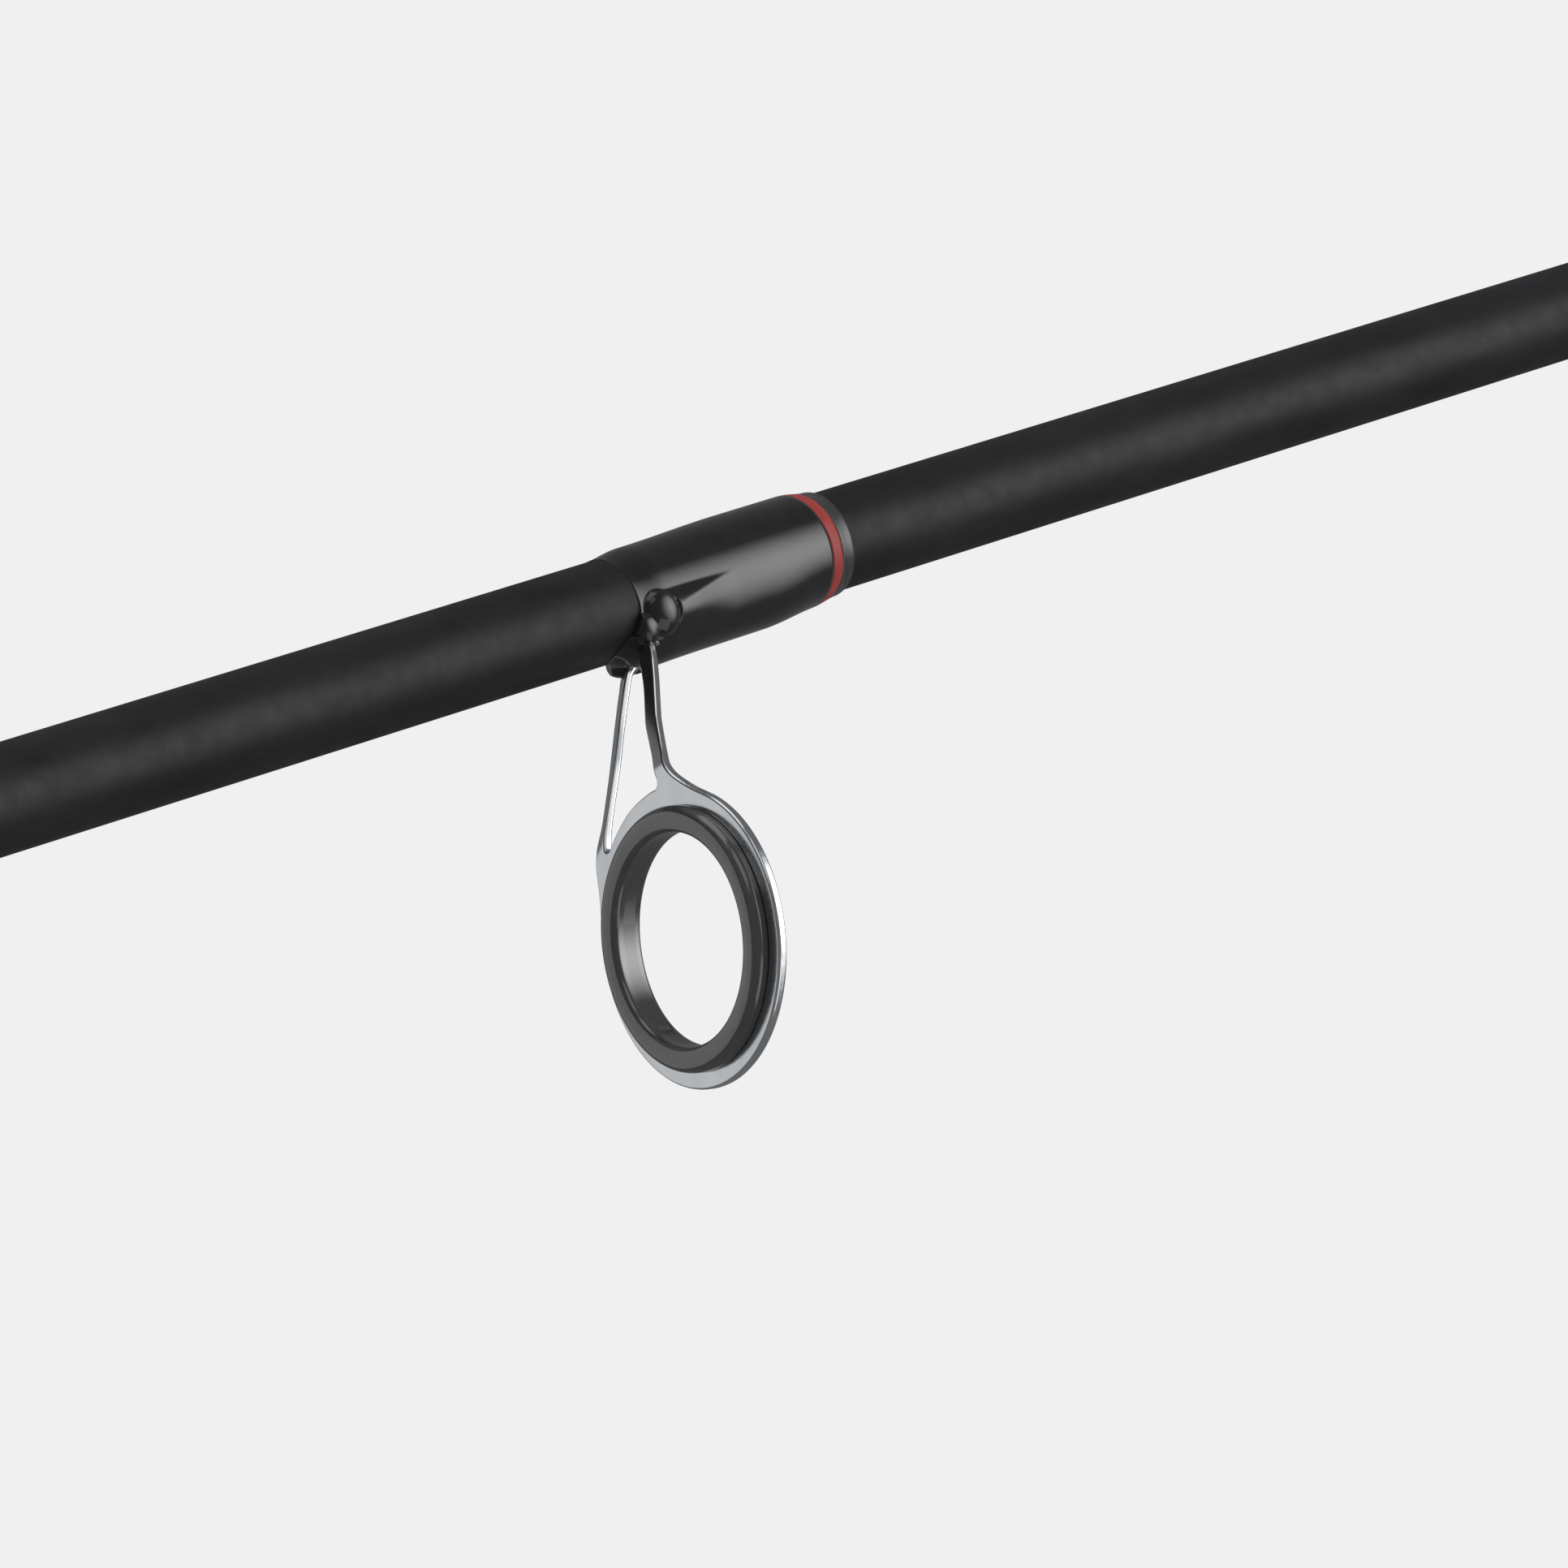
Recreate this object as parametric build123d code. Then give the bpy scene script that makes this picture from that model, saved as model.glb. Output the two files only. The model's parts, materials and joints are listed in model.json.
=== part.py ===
from build123d import *
import math
import os

# Two-piece spinning rod with a spinning reel, millimetres, +Z up.
# The rod's axis is X, with its tip towards +X. The guides and the reel hang towards -Z.
# The origin is on the rod's axis, in the middle of the straight part of the rear grip.

# ---- driving dimensions: rod ----
GRIP_R = 12.0            # straight part of the rear grip
GRIP_HALF = 60.0         # half of its length
BUTT_END = -76.0         # end of the butt cap
SEAT_START, SEAT_END = 120.0, 246.0
SEAT_R = 11.5
FORE_GRIP_END = 318.0
TIP_END = 1752.0
BLANK_BUTT_R = 6.06      # blank radius at the butt end
BLANK_TAPER = 0.00273    # loss of radius per millimetre of length
WALL = 0.8               # blank wall
FERRULE_START, FERRULE_END = 842.0, 902.0
FERRULE_GAP = 0.05       # radial running gap of the put-over ferrule
SLEEVE_WALL = 0.55
TIP_R = 1.0

# ---- driving dimensions: guides ----
# name, x of the wrap's rear end, outer diameter of the ring, double foot or not
GUIDES = [
    ("guide_1", 500.0, 30.0, True),
    ("guide_2", 722.0, 20.0, False),
    ("guide_3", 985.0, 16.0, False),
    ("guide_4", 1220.0, 12.0, False),
    ("guide_5", 1420.0, 8.0, False),
    ("guide_6", 1598.0, 8.0, False),
]
# the 20 mm guide is the pattern that the others are scaled from
RING_R = 10.0            # ring, outside
HOLE_R = 7.9             # ring, inside
SEAT_HOLE_R = 9.7        # hole of the frame plate that holds the ring
PLATE_R = 11.2           # frame plate, outside
SHEET = 0.8              # frame sheet thickness
FRAME_X = -9.8           # bend between the legs and the plate, from the wrap's rear end
FRAME_DROP = 12.7        # bend, below the blank's surface
PLATE_LEAN = 10.9        # degrees that the plate leans, bottom towards the butt
PLATE_LENGTH = 22.6      # bend to the plate's lowest point
LEG_ROOT = 2.7           # half width over the legs at the foot
WINDOW_HALF = 4.6        # half width of the gap between the legs at the plate
WRAP_LENGTH = 22.0
WRAP_T = 0.5             # thread and varnish
TRIM_AT, TRIM_W = 19.5, 1.15
RIDGE = 0.5              # varnish below the foot at its high end

# ---- driving dimensions: reel ----
XR = 187.0               # middle of the reel foot
ZR = -70.0               # spool and rotor axis
FOOT_L, FOOT_W, FOOT_T = 62.0, 14.0, 2.6
SEAT_FLAT = -10.0        # flat under the reel seat, where the foot sits
BODY_A, BODY_B = 31.0, 22.0      # half length and half height of the gear housing
BODY_X, BODY_Z = XR - 8.0, ZR - 5.0
BODY_W = 13.0            # half width of the housing
HOUSE_WALL = 3.0
GEAR_X, GEAR_Z = XR - 8.0, ZR - 7.0
GEAR_R = 12.5
GEAR_TEETH, PINION_TEETH = 40, 8
SHAFT_R = 2.0
ROTOR_X = XR + 28.0      # back face of the rotor
DRUM_R = 20.5
SPOOL_R = 23.2
PIVOT_X = ROTOR_X + 43.0 # bail pivot
ARM_IN, ARM_OUT = 24.6, 27.6
CRANK = 56.0             # handle arm, shaft to knob
CRANK_TILT = 35.0        # degrees that the arm hangs forward of straight down
ARM_Y = -31.5            # inner face of the handle arm, outside the rotor's sweep
RUN = 0.06               # radial running clearance

nodes = {}


def lathe(points, z=0.0):
    """A solid turned about an axis along X, from (x, radius) points."""
    face = Plane.XZ * make_face(Polyline(*points, close=True))
    return Pos(0, 0, z) * revolve(face, Axis.X)


def rod_x(x0, x1, radius, y=0.0, z=0.0):
    return Pos(x0, y, z) * Rot(0, 90, 0) * Cylinder(
        radius, x1 - x0, align=(Align.CENTER, Align.CENTER, Align.MIN))


def rod_y(y0, y1, radius, x=0.0, z=0.0):
    return Pos(x, y0, z) * Rot(-90, 0, 0) * Cylinder(
        radius, y1 - y0, align=(Align.CENTER, Align.CENTER, Align.MIN))


def block(x0, x1, y0, y1, z0, z1):
    return Pos((x0 + x1) / 2, (y0 + y1) / 2, (z0 + z1) / 2) * Box(x1 - x0, y1 - y0, z1 - z0)


def side_face(points):
    """A flat face in the XZ plane."""
    return Plane.XZ * make_face(Polyline(*points, close=True))


def side_plate(points, y0, y1):
    """A side view outline of (x, z) points, with thickness from y0 to y1."""
    face = Plane.XZ.offset(-y0) * make_face(Polyline(*points, close=True))
    return extrude(face, -(y1 - y0))


# ---------------------------------------------------------------- rod blank
def butt_radius(x):
    return BLANK_BUTT_R - BLANK_TAPER * (x - BUTT_END)


SLEEVE_R0 = butt_radius(FERRULE_START) + FERRULE_GAP + SLEEVE_WALL
SLEEVE_R1 = butt_radius(FERRULE_END) + FERRULE_GAP + SLEEVE_WALL


def tip_radius(x):
    if x < FERRULE_END:
        t = (x - FERRULE_START) / (FERRULE_END - FERRULE_START)
        return SLEEVE_R0 + (SLEEVE_R1 - SLEEVE_R0) * t
    t = (x - FERRULE_END) / (TIP_END - FERRULE_END)
    return SLEEVE_R1 + (TIP_R - SLEEVE_R1) * t


def blank_radius(x):
    return butt_radius(x) if x < FERRULE_START else tip_radius(x)


def butt_solid():
    start = BUTT_END + 4.0
    return lathe([(start, 0), (start, butt_radius(start)),
                  (FERRULE_END - 1.0, butt_radius(FERRULE_END - 1.0)), (FERRULE_END - 1.0, 0)])


def make_butt_blank():
    start = BUTT_END + 4.0
    end = FERRULE_END - 1.0
    return lathe([(start, butt_radius(start) - WALL), (start, butt_radius(start)),
                  (end, butt_radius(end)), (end, butt_radius(end) - WALL)])


def make_tip_blank():
    bore = FERRULE_GAP
    hollow_end = 1300.0
    return lathe([(FERRULE_START, butt_radius(FERRULE_START) + bore), (FERRULE_START, SLEEVE_R0),
                  (FERRULE_END, SLEEVE_R1), (TIP_END - 4.0, tip_radius(TIP_END - 4.0)),
                  (TIP_END - 4.0, 0), (hollow_end, 0),
                  (hollow_end, tip_radius(hollow_end) - 1.4),
                  (FERRULE_END, butt_radius(FERRULE_END) + bore)])


# ---------------------------------------------------------------- handle
def make_butt_cap():
    r = GRIP_R - 0.9
    cap = lathe([(BUTT_END, 0), (BUTT_END, r - 2.0), (BUTT_END + 2.0, r),
                 (-GRIP_HALF, r), (-GRIP_HALF, 0)])
    return cap - butt_solid()


def make_rear_grip():
    grip = lathe([(-GRIP_HALF, 0), (-GRIP_HALF, GRIP_R), (GRIP_HALF, GRIP_R),
                  (84.0, 10.2), (104.0, 10.6), (SEAT_START, SEAT_R), (SEAT_START, 0)])
    return grip - butt_solid()


def make_fore_grip():
    grip = lathe([(SEAT_END, 0), (SEAT_END, SEAT_R), (256.0, 12.0), (280.0, 10.6),
                  (304.0, 9.0), (FORE_GRIP_END, 8.0), (FORE_GRIP_END, 0)])
    return grip - butt_solid()


def make_winding_check():
    ring = lathe([(FORE_GRIP_END, 0), (FORE_GRIP_END, 7.6), (FORE_GRIP_END + 2.0, 7.6),
                  (FORE_GRIP_END + 5.0, 6.2), (FORE_GRIP_END + 5.0, 0)])
    return ring - butt_solid()


THREAD_START, THREAD_END = SEAT_START + 4.0, SEAT_START + 34.0


def make_reel_seat():
    """Seat tube with a flat for the foot, a collar at the front and a threaded rear end."""
    body = lathe([(SEAT_START, 0), (SEAT_START, SEAT_R), (THREAD_START, SEAT_R),
                  (THREAD_START, SEAT_R - 1.1), (THREAD_END, SEAT_R - 1.1), (THREAD_END, SEAT_R),
                  (SEAT_END, SEAT_R), (SEAT_END, 0)])
    for i in range(9):
        x = THREAD_START + 2.0 + 3.0 * i
        body += lathe([(x, 0), (x, 10.4), (x + 0.7, 11.0), (x + 1.4, 10.4), (x + 1.4, 0)])
    flat = block(XR - FOOT_L / 2 - 22.0, XR + FOOT_L / 2 + 1.0, -12, 12, -13, SEAT_FLAT)
    return body - flat - butt_solid()


def hood(x0, x1, bore, closed_end):
    """A hood that traps one end of the reel foot against the seat."""
    outer = rod_x(x0, x1, bore + 1.6) + rod_x(x0, x1, 9.2, z=-6.2)
    body = outer - rod_x(x0 - 1, x1 + 1, bore)
    half = FOOT_W / 2 + 0.3
    if closed_end < 0:
        pocket = block(x0 + 3.0, x1 + 1, -half, half, -FOOT_T + SEAT_FLAT - 0.15, -5.0)
    else:
        pocket = block(x0 - 1, x1 - 3.0, -half, half, -FOOT_T + SEAT_FLAT - 0.15, -5.0)
    return body - pocket


def make_fixed_hood():
    x0 = XR + FOOT_L / 2 - 8.0
    return hood(x0, x0 + 16.0, SEAT_R, 1) - (make_reel_seat() + butt_solid())


SLIDE_X = XR - FOOT_L / 2 - 8.0


def make_sliding_hood():
    return hood(SLIDE_X, SLIDE_X + 15.0, SEAT_R + RUN, -1)


def make_lock_nut():
    """Knurled ring that turns on the seat's thread and carries the sliding hood."""
    nut = rod_x(SLIDE_X - 11.0, SLIDE_X - 0.1, 14.0) - rod_x(SLIDE_X - 12.0, SLIDE_X, 11.0 + RUN)
    for i in range(24):
        a = math.radians(15 * i)
        nut -= rod_x(SLIDE_X - 9.0, SLIDE_X - 2.0, 0.7, 14.1 * math.cos(a), 14.1 * math.sin(a))
    return nut


KEEPER_X = FORE_GRIP_END + 22.0


def make_hook_keeper():
    """Bent wire loop below the blank, where the hook is hung."""
    wire = 0.55
    r = butt_radius(KEEPER_X) + wire
    path = Plane.XZ * FilletPolyline((KEEPER_X - 11, -r), (KEEPER_X - 5, -r), (KEEPER_X - 4, -r - 5),
                                     (KEEPER_X + 4, -r - 5), (KEEPER_X + 5, -r), (KEEPER_X + 11, -r),
                                     radius=1.6)
    start = path @ 0
    section = Plane(origin=start, z_dir=path % 0) * Circle(wire)
    return sweep(section, path) - butt_solid()


def make_keeper_wrap():
    body = Compound([])
    for x0 in (KEEPER_X - 12.5, KEEPER_X + 5.5):
        r = butt_radius(x0)
        body += rod_x(x0, x0 + 7.0, r + 0.4) + block(x0, x0 + 7.0, -1.2, 1.2, -r - 1.5, 0)
    return body - butt_solid() - make_hook_keeper()


# ---------------------------------------------------------------- guides
def thick_line(points, t):
    """The outline of a bent strip of thickness t along (x, z) points, with mitred corners."""
    left, right = [], []
    for i, p in enumerate(points):
        before = Vector(*p) - Vector(*points[i - 1]) if i else None
        after = Vector(*points[i + 1]) - Vector(*p) if i + 1 < len(points) else None
        a = (before or after).normalized()
        b = (after or before).normalized()
        n = Vector(-(a + b).Y, (a + b).X).normalized()
        d = (t / 2) / max(0.3, n.dot(Vector(-a.Y, a.X)))
        left.append((p[0] + n.X * d, p[1] + n.Y * d))
        right.append((p[0] - n.X * d, p[1] - n.Y * d))
    return left + right[::-1]


def ring_place(x, blank_r, k):
    """The ring's centre, as (x, z)."""
    lean = math.radians(PLATE_LEAN)
    reach = (PLATE_LENGTH - PLATE_R) * k
    return (x + FRAME_X * k - reach * math.sin(lean),
            -blank_r - FRAME_DROP * k - reach * math.cos(lean))


def ring_axis(x, blank_r, k):
    cx, cz = ring_place(x, blank_r, k)
    return Pos(cx, 0, cz) * Rot(0, PLATE_LEAN, 0)


def sheet_t(k):
    return SHEET * min(1.0, max(k, 0.6))


def make_ring(x, blank_r, k):
    """Ceramic ring with a flange on its butt side, a round lip and a rounded bore."""
    r, hole, seat = RING_R * k, HOLE_R * k, SEAT_HOLE_R * k
    front, back, flange = -1.5 * k, 1.1 * k, -sheet_t(k) / 2
    face = make_face(Polyline((front, hole), (front, r), (flange, r), (flange, seat),
                              (back, seat), (back, hole), close=True))
    corners = [v for v in face.vertices() if v.Y < hole + 0.01 or v.X < front + 0.01]
    face = fillet(corners, 0.75 * k)
    return ring_axis(x, blank_r, k) * revolve(Plane.XZ * face, Axis.X)


def leg_outline(blank_r, k):
    """Front view of the legs and the plate: straight legs tangent to the plate's circle."""
    lean = math.radians(PLATE_LEAN)
    top = -blank_r
    bend = top - FRAME_DROP * k
    centre = bend - (PLATE_LENGTH - PLATE_R) * k * math.cos(lean)
    drop, half, r = top - centre, LEG_ROOT * k, PLATE_R * k
    tilt = math.asin(r / math.hypot(half, drop)) - math.atan2(half, drop)
    touch_y, touch_z = r * math.cos(tilt), centre + r * math.sin(tilt)
    legs = make_face(Polyline((-half, top + 1), (half, top + 1), (half, top), (touch_y, touch_z),
                              (0, centre), (-touch_y, touch_z), (-half, top), close=True))
    disc = Pos(0, centre) * Ellipse(r, r * math.cos(lean))
    window = make_face(Polyline((0, top - 2.4 * k), (WINDOW_HALF * k, bend),
                                (WINDOW_HALF * k, bend - 2 * k), (-WINDOW_HALF * k, bend - 2 * k),
                                (-WINDOW_HALF * k, bend), close=True))
    return (legs - window) + disc


def make_frame(x, blank_r, k, double):
    """Stamped sheet frame: a foot on the blank, two spread legs and a leaning ring plate."""
    t = sheet_t(k)
    lean = math.radians(PLATE_LEAN)
    bend = (x + FRAME_X * k, -blank_r - FRAME_DROP * k)
    low = (bend[0] - PLATE_LENGTH * k * math.sin(lean), bend[1] - PLATE_LENGTH * k * math.cos(lean))
    strip = thick_line([(x + 0.2, -blank_r - t / 2), bend, low], t)
    sheet = extrude(side_face(strip), 14 * k, both=True)
    outline = extrude(Plane.YZ.offset(x - 40 * k) * leg_outline(blank_r, k), 60 * k)
    frame = sheet & outline
    foot = make_face(Polyline((-0.6 * k, -LEG_ROOT * k), (3 * k, -1.7 * k), (15 * k, -1.1 * k),
                              (17 * k, -0.5 * k), (17 * k, 0.5 * k), (15 * k, 1.1 * k),
                              (3 * k, 1.7 * k), (-0.6 * k, LEG_ROOT * k), close=True))
    frame += Pos(x, 0, -blank_r - t) * extrude(foot, t + 0.2)
    if double:
        cx, cz = ring_place(x, blank_r, k)
        rear = x - 30 * k
        hold = (SEAT_HOLE_R + 0.9) * k
        brace = thick_line([(rear - 14 * k, -blank_r - t / 2), (rear, -blank_r - t / 2),
                            (cx + hold * math.sin(lean), cz + hold * math.cos(lean))], t)
        frame += extrude(side_face(brace), 2.2 * k, both=True)
    clear = ring_axis(x, blank_r, k) * rod_x(-3 * k, 3 * k, SEAT_HOLE_R * k)
    return frame - clear


def make_wrap(x, k, double):
    """Thread wrap under varnish, with a ridge over the foot."""
    length = WRAP_LENGTH * max(k, 0.55)
    spans = [(x, x + length, 1)]
    if double:
        spans.append((x - 30 * k - length, x - 30 * k - 0.5, -1))
    body = Compound([])
    for x0, x1, side in spans:
        r0, r1 = blank_radius(x0), blank_radius(x1)
        coat = lathe([(x0, 0), (x0, r0 + WRAP_T), (x1 - 2, r1 + WRAP_T), (x1, r1 + 0.15), (x1, 0)])
        near, far = (x0, x1 - 3) if side > 0 else (x1, x0 + 3)
        deep = max(r0, r1) + sheet_t(k) + RIDGE
        half = max(2.2, 2.0 * k)
        ridge = side_plate([(near, -1), (near, -deep), (far, -r1 - WRAP_T - 0.1), (far, -1)],
                           -half, half)
        body += coat + ridge
    return body


def trim_band(x0):
    r = blank_radius(x0) + WRAP_T
    return rod_x(x0, x0 + TRIM_W, r + 0.1) - rod_x(x0 - 1, x0 + TRIM_W + 1, r - 0.25)


def make_guides():
    """Frames, rings, wraps and red trim bands, one set for each guide."""
    trims = {"butt_trim_threads": Compound([]), "tip_trim_threads": Compound([])}
    for name, x, ring_od, double in GUIDES:
        k = ring_od / (2 * RING_R)
        blank_r = blank_radius(x)
        behind = 90 if double else 60
        rod = lathe([(x - behind, 0), (x - behind, blank_radius(x - behind)),
                     (x + 60, blank_radius(x + 60)), (x + 60, 0)])
        frame = make_frame(x, blank_r, k, double) - rod
        band = trim_band(x + TRIM_AT * max(k, 0.55))
        wrap = make_wrap(x, k, double) - rod - frame - band
        group = "butt_trim_threads" if x < FERRULE_START else "tip_trim_threads"
        trims[group] += band
        nodes[name + "_frame"] = frame
        nodes[name + "_ring"] = make_ring(x, blank_r, k)
        nodes[name + "_wrap"] = Compound(children=[part for part in wrap.solids() if part.volume > 10])
    for group, solids in trims.items():
        nodes[group] = solids


TOP_R, TOP_HOLE = 4.0, 2.8


def make_tip_top():
    """Tube glued over the tip, with a leaning loop of sheet that holds the last ring."""
    x0 = TIP_END - 14.0
    tube = rod_x(x0, TIP_END, 1.75) - rod_x(x0 - 1, TIP_END - 4.0, 1.2)
    place = Pos(TIP_END + 2.2, 0, -TOP_R - 0.6) * Rot(0, -25, 0)
    loop = place * (rod_x(-0.5, 0.5, TOP_R + 0.9) - rod_x(-1, 1, TOP_R))
    strut = side_plate([(TIP_END - 8, -1.2), (TIP_END - 2, -1.2), (TIP_END + 1.2, -6.0),
                        (TIP_END + 0.4, -6.6)], -0.5, 0.5)
    top = tube + loop + strut - place * rod_x(-2, 2, TOP_R) - tip_core()
    ring = place * lathe([(-0.9, TOP_HOLE), (-0.9, TOP_R), (0.9, TOP_R), (0.9, TOP_HOLE)])
    return top, ring


def tip_core():
    return lathe([(TIP_END - 30, 0), (TIP_END - 30, tip_radius(TIP_END - 30)),
                  (TIP_END - 4.0, tip_radius(TIP_END - 4.0)), (TIP_END - 4.0, 0)])


def make_tip_top_wrap():
    x0 = TIP_END - 26.0
    coat = lathe([(x0, 0), (x0, tip_radius(x0) + 0.15), (x0 + 2, tip_radius(x0) + 0.5),
                  (TIP_END - 14.0, 1.7), (TIP_END - 14.0, 0)])
    return coat - tip_core()


def make_ferrule_wrap():
    x0, x1 = FERRULE_START, FERRULE_START + 26.0
    coat = lathe([(x0, 0), (x0, tip_radius(x0) + 0.3), (x0 + 1, tip_radius(x0) + 0.5),
                  (x1 - 2, tip_radius(x1) + 0.5), (x1, tip_radius(x1) + 0.1), (x1, 0)])
    core = lathe([(x0 - 1, 0), (x0 - 1, SLEEVE_R0), (x0, SLEEVE_R0), (x1 + 1, tip_radius(x1 + 1)),
                  (x1 + 1, 0)])
    return coat - core


# ---------------------------------------------------------------- reel housing
def housing_solid(shrink, y0, y1):
    face = Plane.XZ.offset(-y0) * Pos(BODY_X, BODY_Z) * Ellipse(BODY_A - shrink, BODY_B - shrink)
    return extrude(face, -(y1 - y0))


SCREW_ANGLES = (35, 140, 270)
BEARING_R = 6.5


def screw_places():
    for angle in SCREW_ANGLES:
        a = math.radians(angle)
        yield (BODY_X + (BODY_A - 3.2) * math.cos(a), BODY_Z + (BODY_B - 3.2) * math.sin(a))


def make_reel_body():
    """Open gear housing with its front collar, the stem and the foot, in one casting."""
    body = housing_solid(0, -BODY_W, BODY_W - 3.0)
    body += rod_x(XR + 12.0, ROTOR_X - 1.0, 11.0, z=ZR)
    stem = side_plate([(XR - 16, BODY_Z + 14), (XR + 12, ZR + 8), (XR + 9, ZR + 22), (XR + 8, -26),
                       (XR + 14, SEAT_FLAT - 2), (XR - 12, SEAT_FLAT - 2), (XR - 6, -26),
                       (XR - 9, -48)], -4.5, 4.5)
    foot = block(XR - FOOT_L / 2, XR + FOOT_L / 2, -FOOT_W / 2, FOOT_W / 2,
                 SEAT_FLAT - FOOT_T, SEAT_FLAT)
    body += stem + foot
    body -= housing_solid(HOUSE_WALL, -BODY_W + 3.0, BODY_W)
    for x, z in screw_places():
        body += rod_y(-BODY_W + 1, BODY_W - 3.0, 3.0, x, z) & housing_solid(0, -BODY_W, BODY_W)
        body -= rod_y(BODY_W - 11.0, BODY_W, 1.2, x, z)
    body -= rod_x(XR + 10.0, ROTOR_X, 4.2, z=ZR)
    body -= rod_x(ROTOR_X - 8.0, ROTOR_X, BEARING_R, z=ZR)
    body -= rod_y(-BODY_W - 1, -BODY_W + 4, 5.5, GEAR_X, GEAR_Z)
    return body - lever_slot()


def make_side_cover():
    cover = housing_solid(0, BODY_W - 3.0, BODY_W)
    cover += rod_y(BODY_W - 1.0, BODY_W + 3.0, 9.0, GEAR_X, GEAR_Z)
    cover -= rod_y(BODY_W - 4.0, BODY_W + 1.0, 5.5, GEAR_X, GEAR_Z)
    cover -= rod_x(XR + 12.0, ROTOR_X, 11.0, z=ZR)
    for x, z in screw_places():
        cover -= rod_y(BODY_W - 4.0, BODY_W + 1.0, 1.2, x, z)
        cover -= rod_y(BODY_W - 1.2, BODY_W + 1.0, 2.1, x, z)
    return cover


def make_cover_screws():
    group = Compound([])
    for x, z in screw_places():
        screw = rod_y(BODY_W - 10.0, BODY_W - 1.2, 1.2, x, z) + rod_y(BODY_W - 1.2, BODY_W, 2.1, x, z)
        group += screw - block(x - 1.5, x + 1.5, BODY_W - 0.6, BODY_W + 1, z - 0.3, z + 0.3)
    return group


def ring_y(y0, y1, outer, inner):
    return rod_y(y0, y1, outer, GEAR_X, GEAR_Z) - rod_y(y0 - 1, y1 + 1, inner, GEAR_X, GEAR_Z)


def make_drive_bearings():
    left = ring_y(-BODY_W, -BODY_W + 3.0, 5.5, 3.5 + RUN)
    right = ring_y(BODY_W - 3.0, BODY_W + 1.0, 5.5, 3.5 + RUN)
    return left + right


def make_drive_gear():
    """Face gear on its shaft: crown teeth reach towards the pinion."""
    gear = rod_y(6.2, 8.2, GEAR_R, GEAR_X, GEAR_Z) + rod_y(-16.0, BODY_W + 0.6, 3.5, GEAR_X, GEAR_Z)
    gear += rod_y(8.0, 9.6, 5.2, GEAR_X, GEAR_Z)
    tooth = block(9.0, 12.3, 4.1, 6.4, -0.5, 0.5)
    for i in range(GEAR_TEETH):
        gear += Pos(GEAR_X, 0, GEAR_Z) * Rot(0, 360 / GEAR_TEETH * i, 0) * tooth
    return gear


def make_pinion():
    """Hollow pinion on the spool axis, with its journal through the rotor's bearing."""
    pinion = rod_x(XR - 2.0, XR + 13.0, 2.95, z=ZR) + rod_x(XR + 13.0, ROTOR_X + 11.0, 3.5, z=ZR)
    tooth = block(0, 14.0, -0.45, 0.45, 2.5, 3.75)
    for i in range(PINION_TEETH):
        pinion += Pos(XR - 2.0, 0, ZR) * Rot(360 / PINION_TEETH * (i + 0.5), 0, 0) * tooth
    return pinion - rod_x(XR - 5, ROTOR_X + 20, SHAFT_R + RUN, z=ZR)


def make_rotor_bearing():
    outer = rod_x(ROTOR_X - 7.9, ROTOR_X - 2.0, BEARING_R, z=ZR)
    return outer - rod_x(ROTOR_X - 9, ROTOR_X, 3.5 + RUN, z=ZR)


# ---------------------------------------------------------------- rotor and bail
def make_rotor():
    """Cup that turns about the spool axis, with two arms that carry the bail."""
    flange = lathe([(ROTOR_X, 0), (ROTOR_X, 20.0), (ROTOR_X + 3, ARM_OUT), (ROTOR_X + 6, ARM_OUT),
                    (ROTOR_X + 6, 0)], ZR)
    drum = rod_x(ROTOR_X + 2, ROTOR_X + 23, DRUM_R, z=ZR)
    drum -= rod_x(ROTOR_X + 4, ROTOR_X + 27, DRUM_R - 2.2, z=ZR)
    rotor = flange - rod_x(ROTOR_X + 4, ROTOR_X + 7, DRUM_R - 2.2, z=ZR) + drum
    rotor += rod_x(ROTOR_X, ROTOR_X + 9, 7.0, z=ZR)
    for side in (-1, 1):
        low, high = sorted((side * ARM_IN, side * ARM_OUT))
        arm = side_plate([(ROTOR_X + 1, ZR - 10), (PIVOT_X - 4, ZR - 7), (PIVOT_X + 5, ZR - 5),
                          (PIVOT_X + 5, ZR + 5), (PIVOT_X - 4, ZR + 7), (ROTOR_X + 1, ZR + 10)],
                         low, high)
        rotor += arm - rod_x(ROTOR_X - 1, PIVOT_X + 9, SPOOL_R + 0.6, z=ZR)
        foot = block(ROTOR_X + 1, ROTOR_X + 6, *sorted((side * 18.0, side * ARM_OUT)), ZR - 9, ZR + 9)
        rotor += foot - rod_x(ROTOR_X + 3.9, ROTOR_X + 7, DRUM_R - 2.0, z=ZR)
        rotor -= rod_y(low - 1, high + 1, 1.5, PIVOT_X, ZR)
    rotor -= rod_x(ROTOR_X - 1, ROTOR_X + 12, 3.5, z=ZR)
    return rotor


def make_rotor_nut():
    nut = Pos(ROTOR_X + 9, 0, ZR) * Rot(0, 90, 0) * extrude(RegularPolygon(5.5, 6), 2.4)
    return nut - rod_x(ROTOR_X + 8, ROTOR_X + 13, 3.5, z=ZR)


BAIL_TILT = -42.0        # bail closed: it leans below the spool axis
BAIL_REACH, BAIL_Y = 41.0, 30.2
BAIL_WIRE_R = 0.9


def bail_place():
    return Pos(PIVOT_X, 0, ZR) * Rot(0, -BAIL_TILT, 0)


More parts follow.
